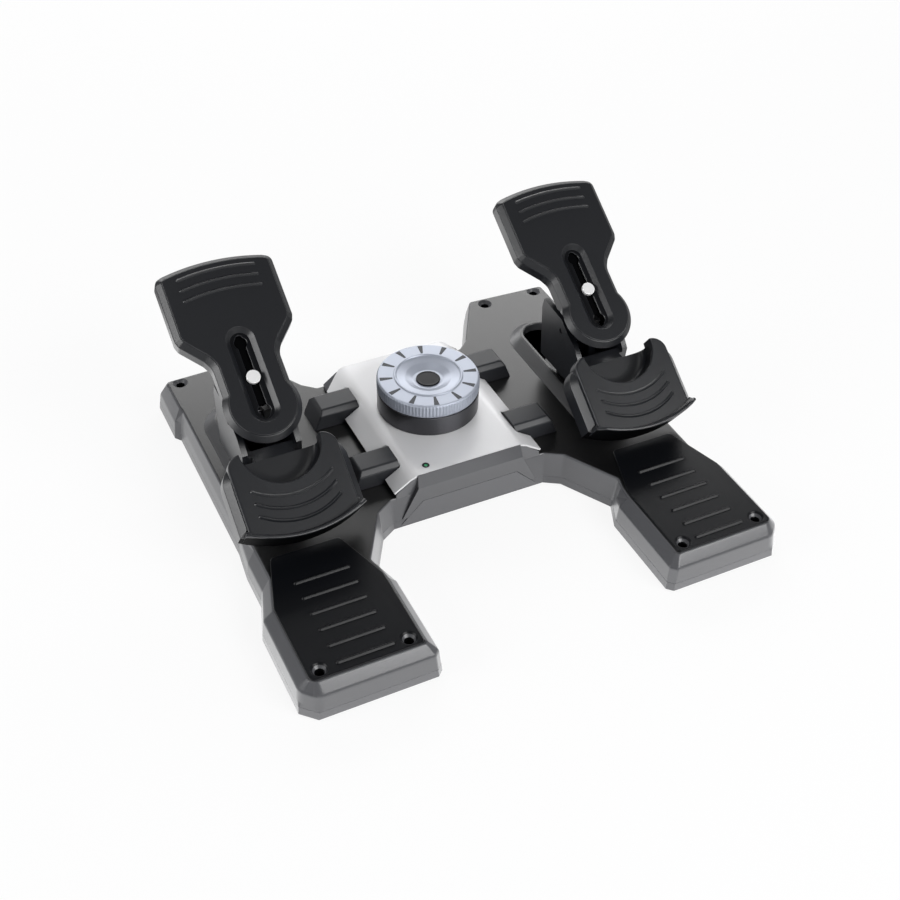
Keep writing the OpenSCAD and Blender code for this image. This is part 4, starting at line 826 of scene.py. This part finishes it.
def floor_material():
    """Pale floor that keeps the shadow.

    Glossy rays see it glow as a painted reflection: bright round the part, with painted shadow right beside the
    rear half, and dim further out.
    """
    mat = bpy.data.materials.new("floor_white")
    mat.use_nodes = True
    tree = mat.node_tree
    bsdf = tree.nodes["Principled BSDF"]
    bsdf.inputs["Base Color"].default_value = (0.82, 0.82, 0.825, 1)
    bsdf.inputs["Roughness"].default_value = 0.9
    bsdf.inputs["Specular IOR Level"].default_value = 0.1
    where = add(tree, "TexCoord").outputs["Object"]
    far = add(tree, "VectorMath", [where], {"operation": "LENGTH"}).outputs["Value"]
    fall = spread(tree, far, 0.38, 0.48, 3.1, 0.3)
    # Painted shadow in the glow: weaker beside the rear half, close to the part
    rear = spread(tree, add(tree, "SeparateXYZ", Vector=where).outputs["Y"], -0.2, 0.02, 0.05, 0.58)
    close = spread(tree, far, 0.31, 0.36, 1, 0)
    lit = maths(tree, "MULTIPLY", fall, maths(tree, "SUBTRACT", 1, maths(tree, "MULTIPLY", rear, close)))
    mirrored = add(tree, "LightPath").outputs["Is Glossy Ray"]
    bright = add(tree, "Mix", Factor=mirrored, A=1, B=lit).outputs["Result"]
    glow = add(tree, "Emission", Strength=bright).outputs["Emission"]
    mix = add(tree, "MixShader", [maths(tree, "MULTIPLY", shown(tree), 0.88), bsdf.outputs["BSDF"], glow])
    tree.links.new(mix.outputs["Shader"], tree.nodes["Material Output"].inputs["Surface"])
    return mat


floor = prism("floor", circle(6000, 64), -3, -0.05)
floor.data.materials.append(floor_material())

world = bpy.data.worlds.new("studio")
scene.world = world
world.use_nodes = True
tree = world.node_tree
plain = tree.nodes["Background"]
plain.inputs["Color"].default_value = (0.95, 0.97, 1, 1)
plain.inputs["Strength"].default_value = 0.12
height = add(tree, "SeparateXYZ", Vector=add(tree, "TexCoord").outputs["Generated"]).outputs["Z"]
seen = add(tree, "Background", Color=(1, 1, 1, 1), Strength=spread(tree, height, 0.05, 0.5, 0.9, 0.22))
both = add(tree, "MixShader", [shown(tree), plain.outputs["Background"], seen.outputs["Background"]])
tree.links.new(both.outputs["Shader"], tree.nodes["World Output"].inputs["Surface"])


def lamp(name, where, width, height, power, aim=(0, 0, 0.05)):
    data = bpy.data.lights.new(name, "AREA")
    data.shape, data.size, data.size_y, data.energy = "RECTANGLE", width, height, power
    obj = bpy.data.objects.new(name, data)
    scene.collection.objects.link(obj)
    obj.location = where
    obj.rotation_mode = "QUATERNION"
    obj.rotation_quaternion = (Vector(where) - Vector(aim)).to_track_quat("Z", "Y")
    return obj


lamp("back_strip", (0.74, 1.96, 1.2), 3.0, 0.85, 37)
lamp("front_strip", (0.78, -1.66, 1.46), 1.6, 0.9, 43)
lamp("left_soft", (-1.9, 0.08, 0.84), 1.3, 0.9, 23)
lamp("top_soft", (-0.5, 0.3, 2.1), 1.0, 1.0, 3)

scene.view_settings.view_transform = "Standard"
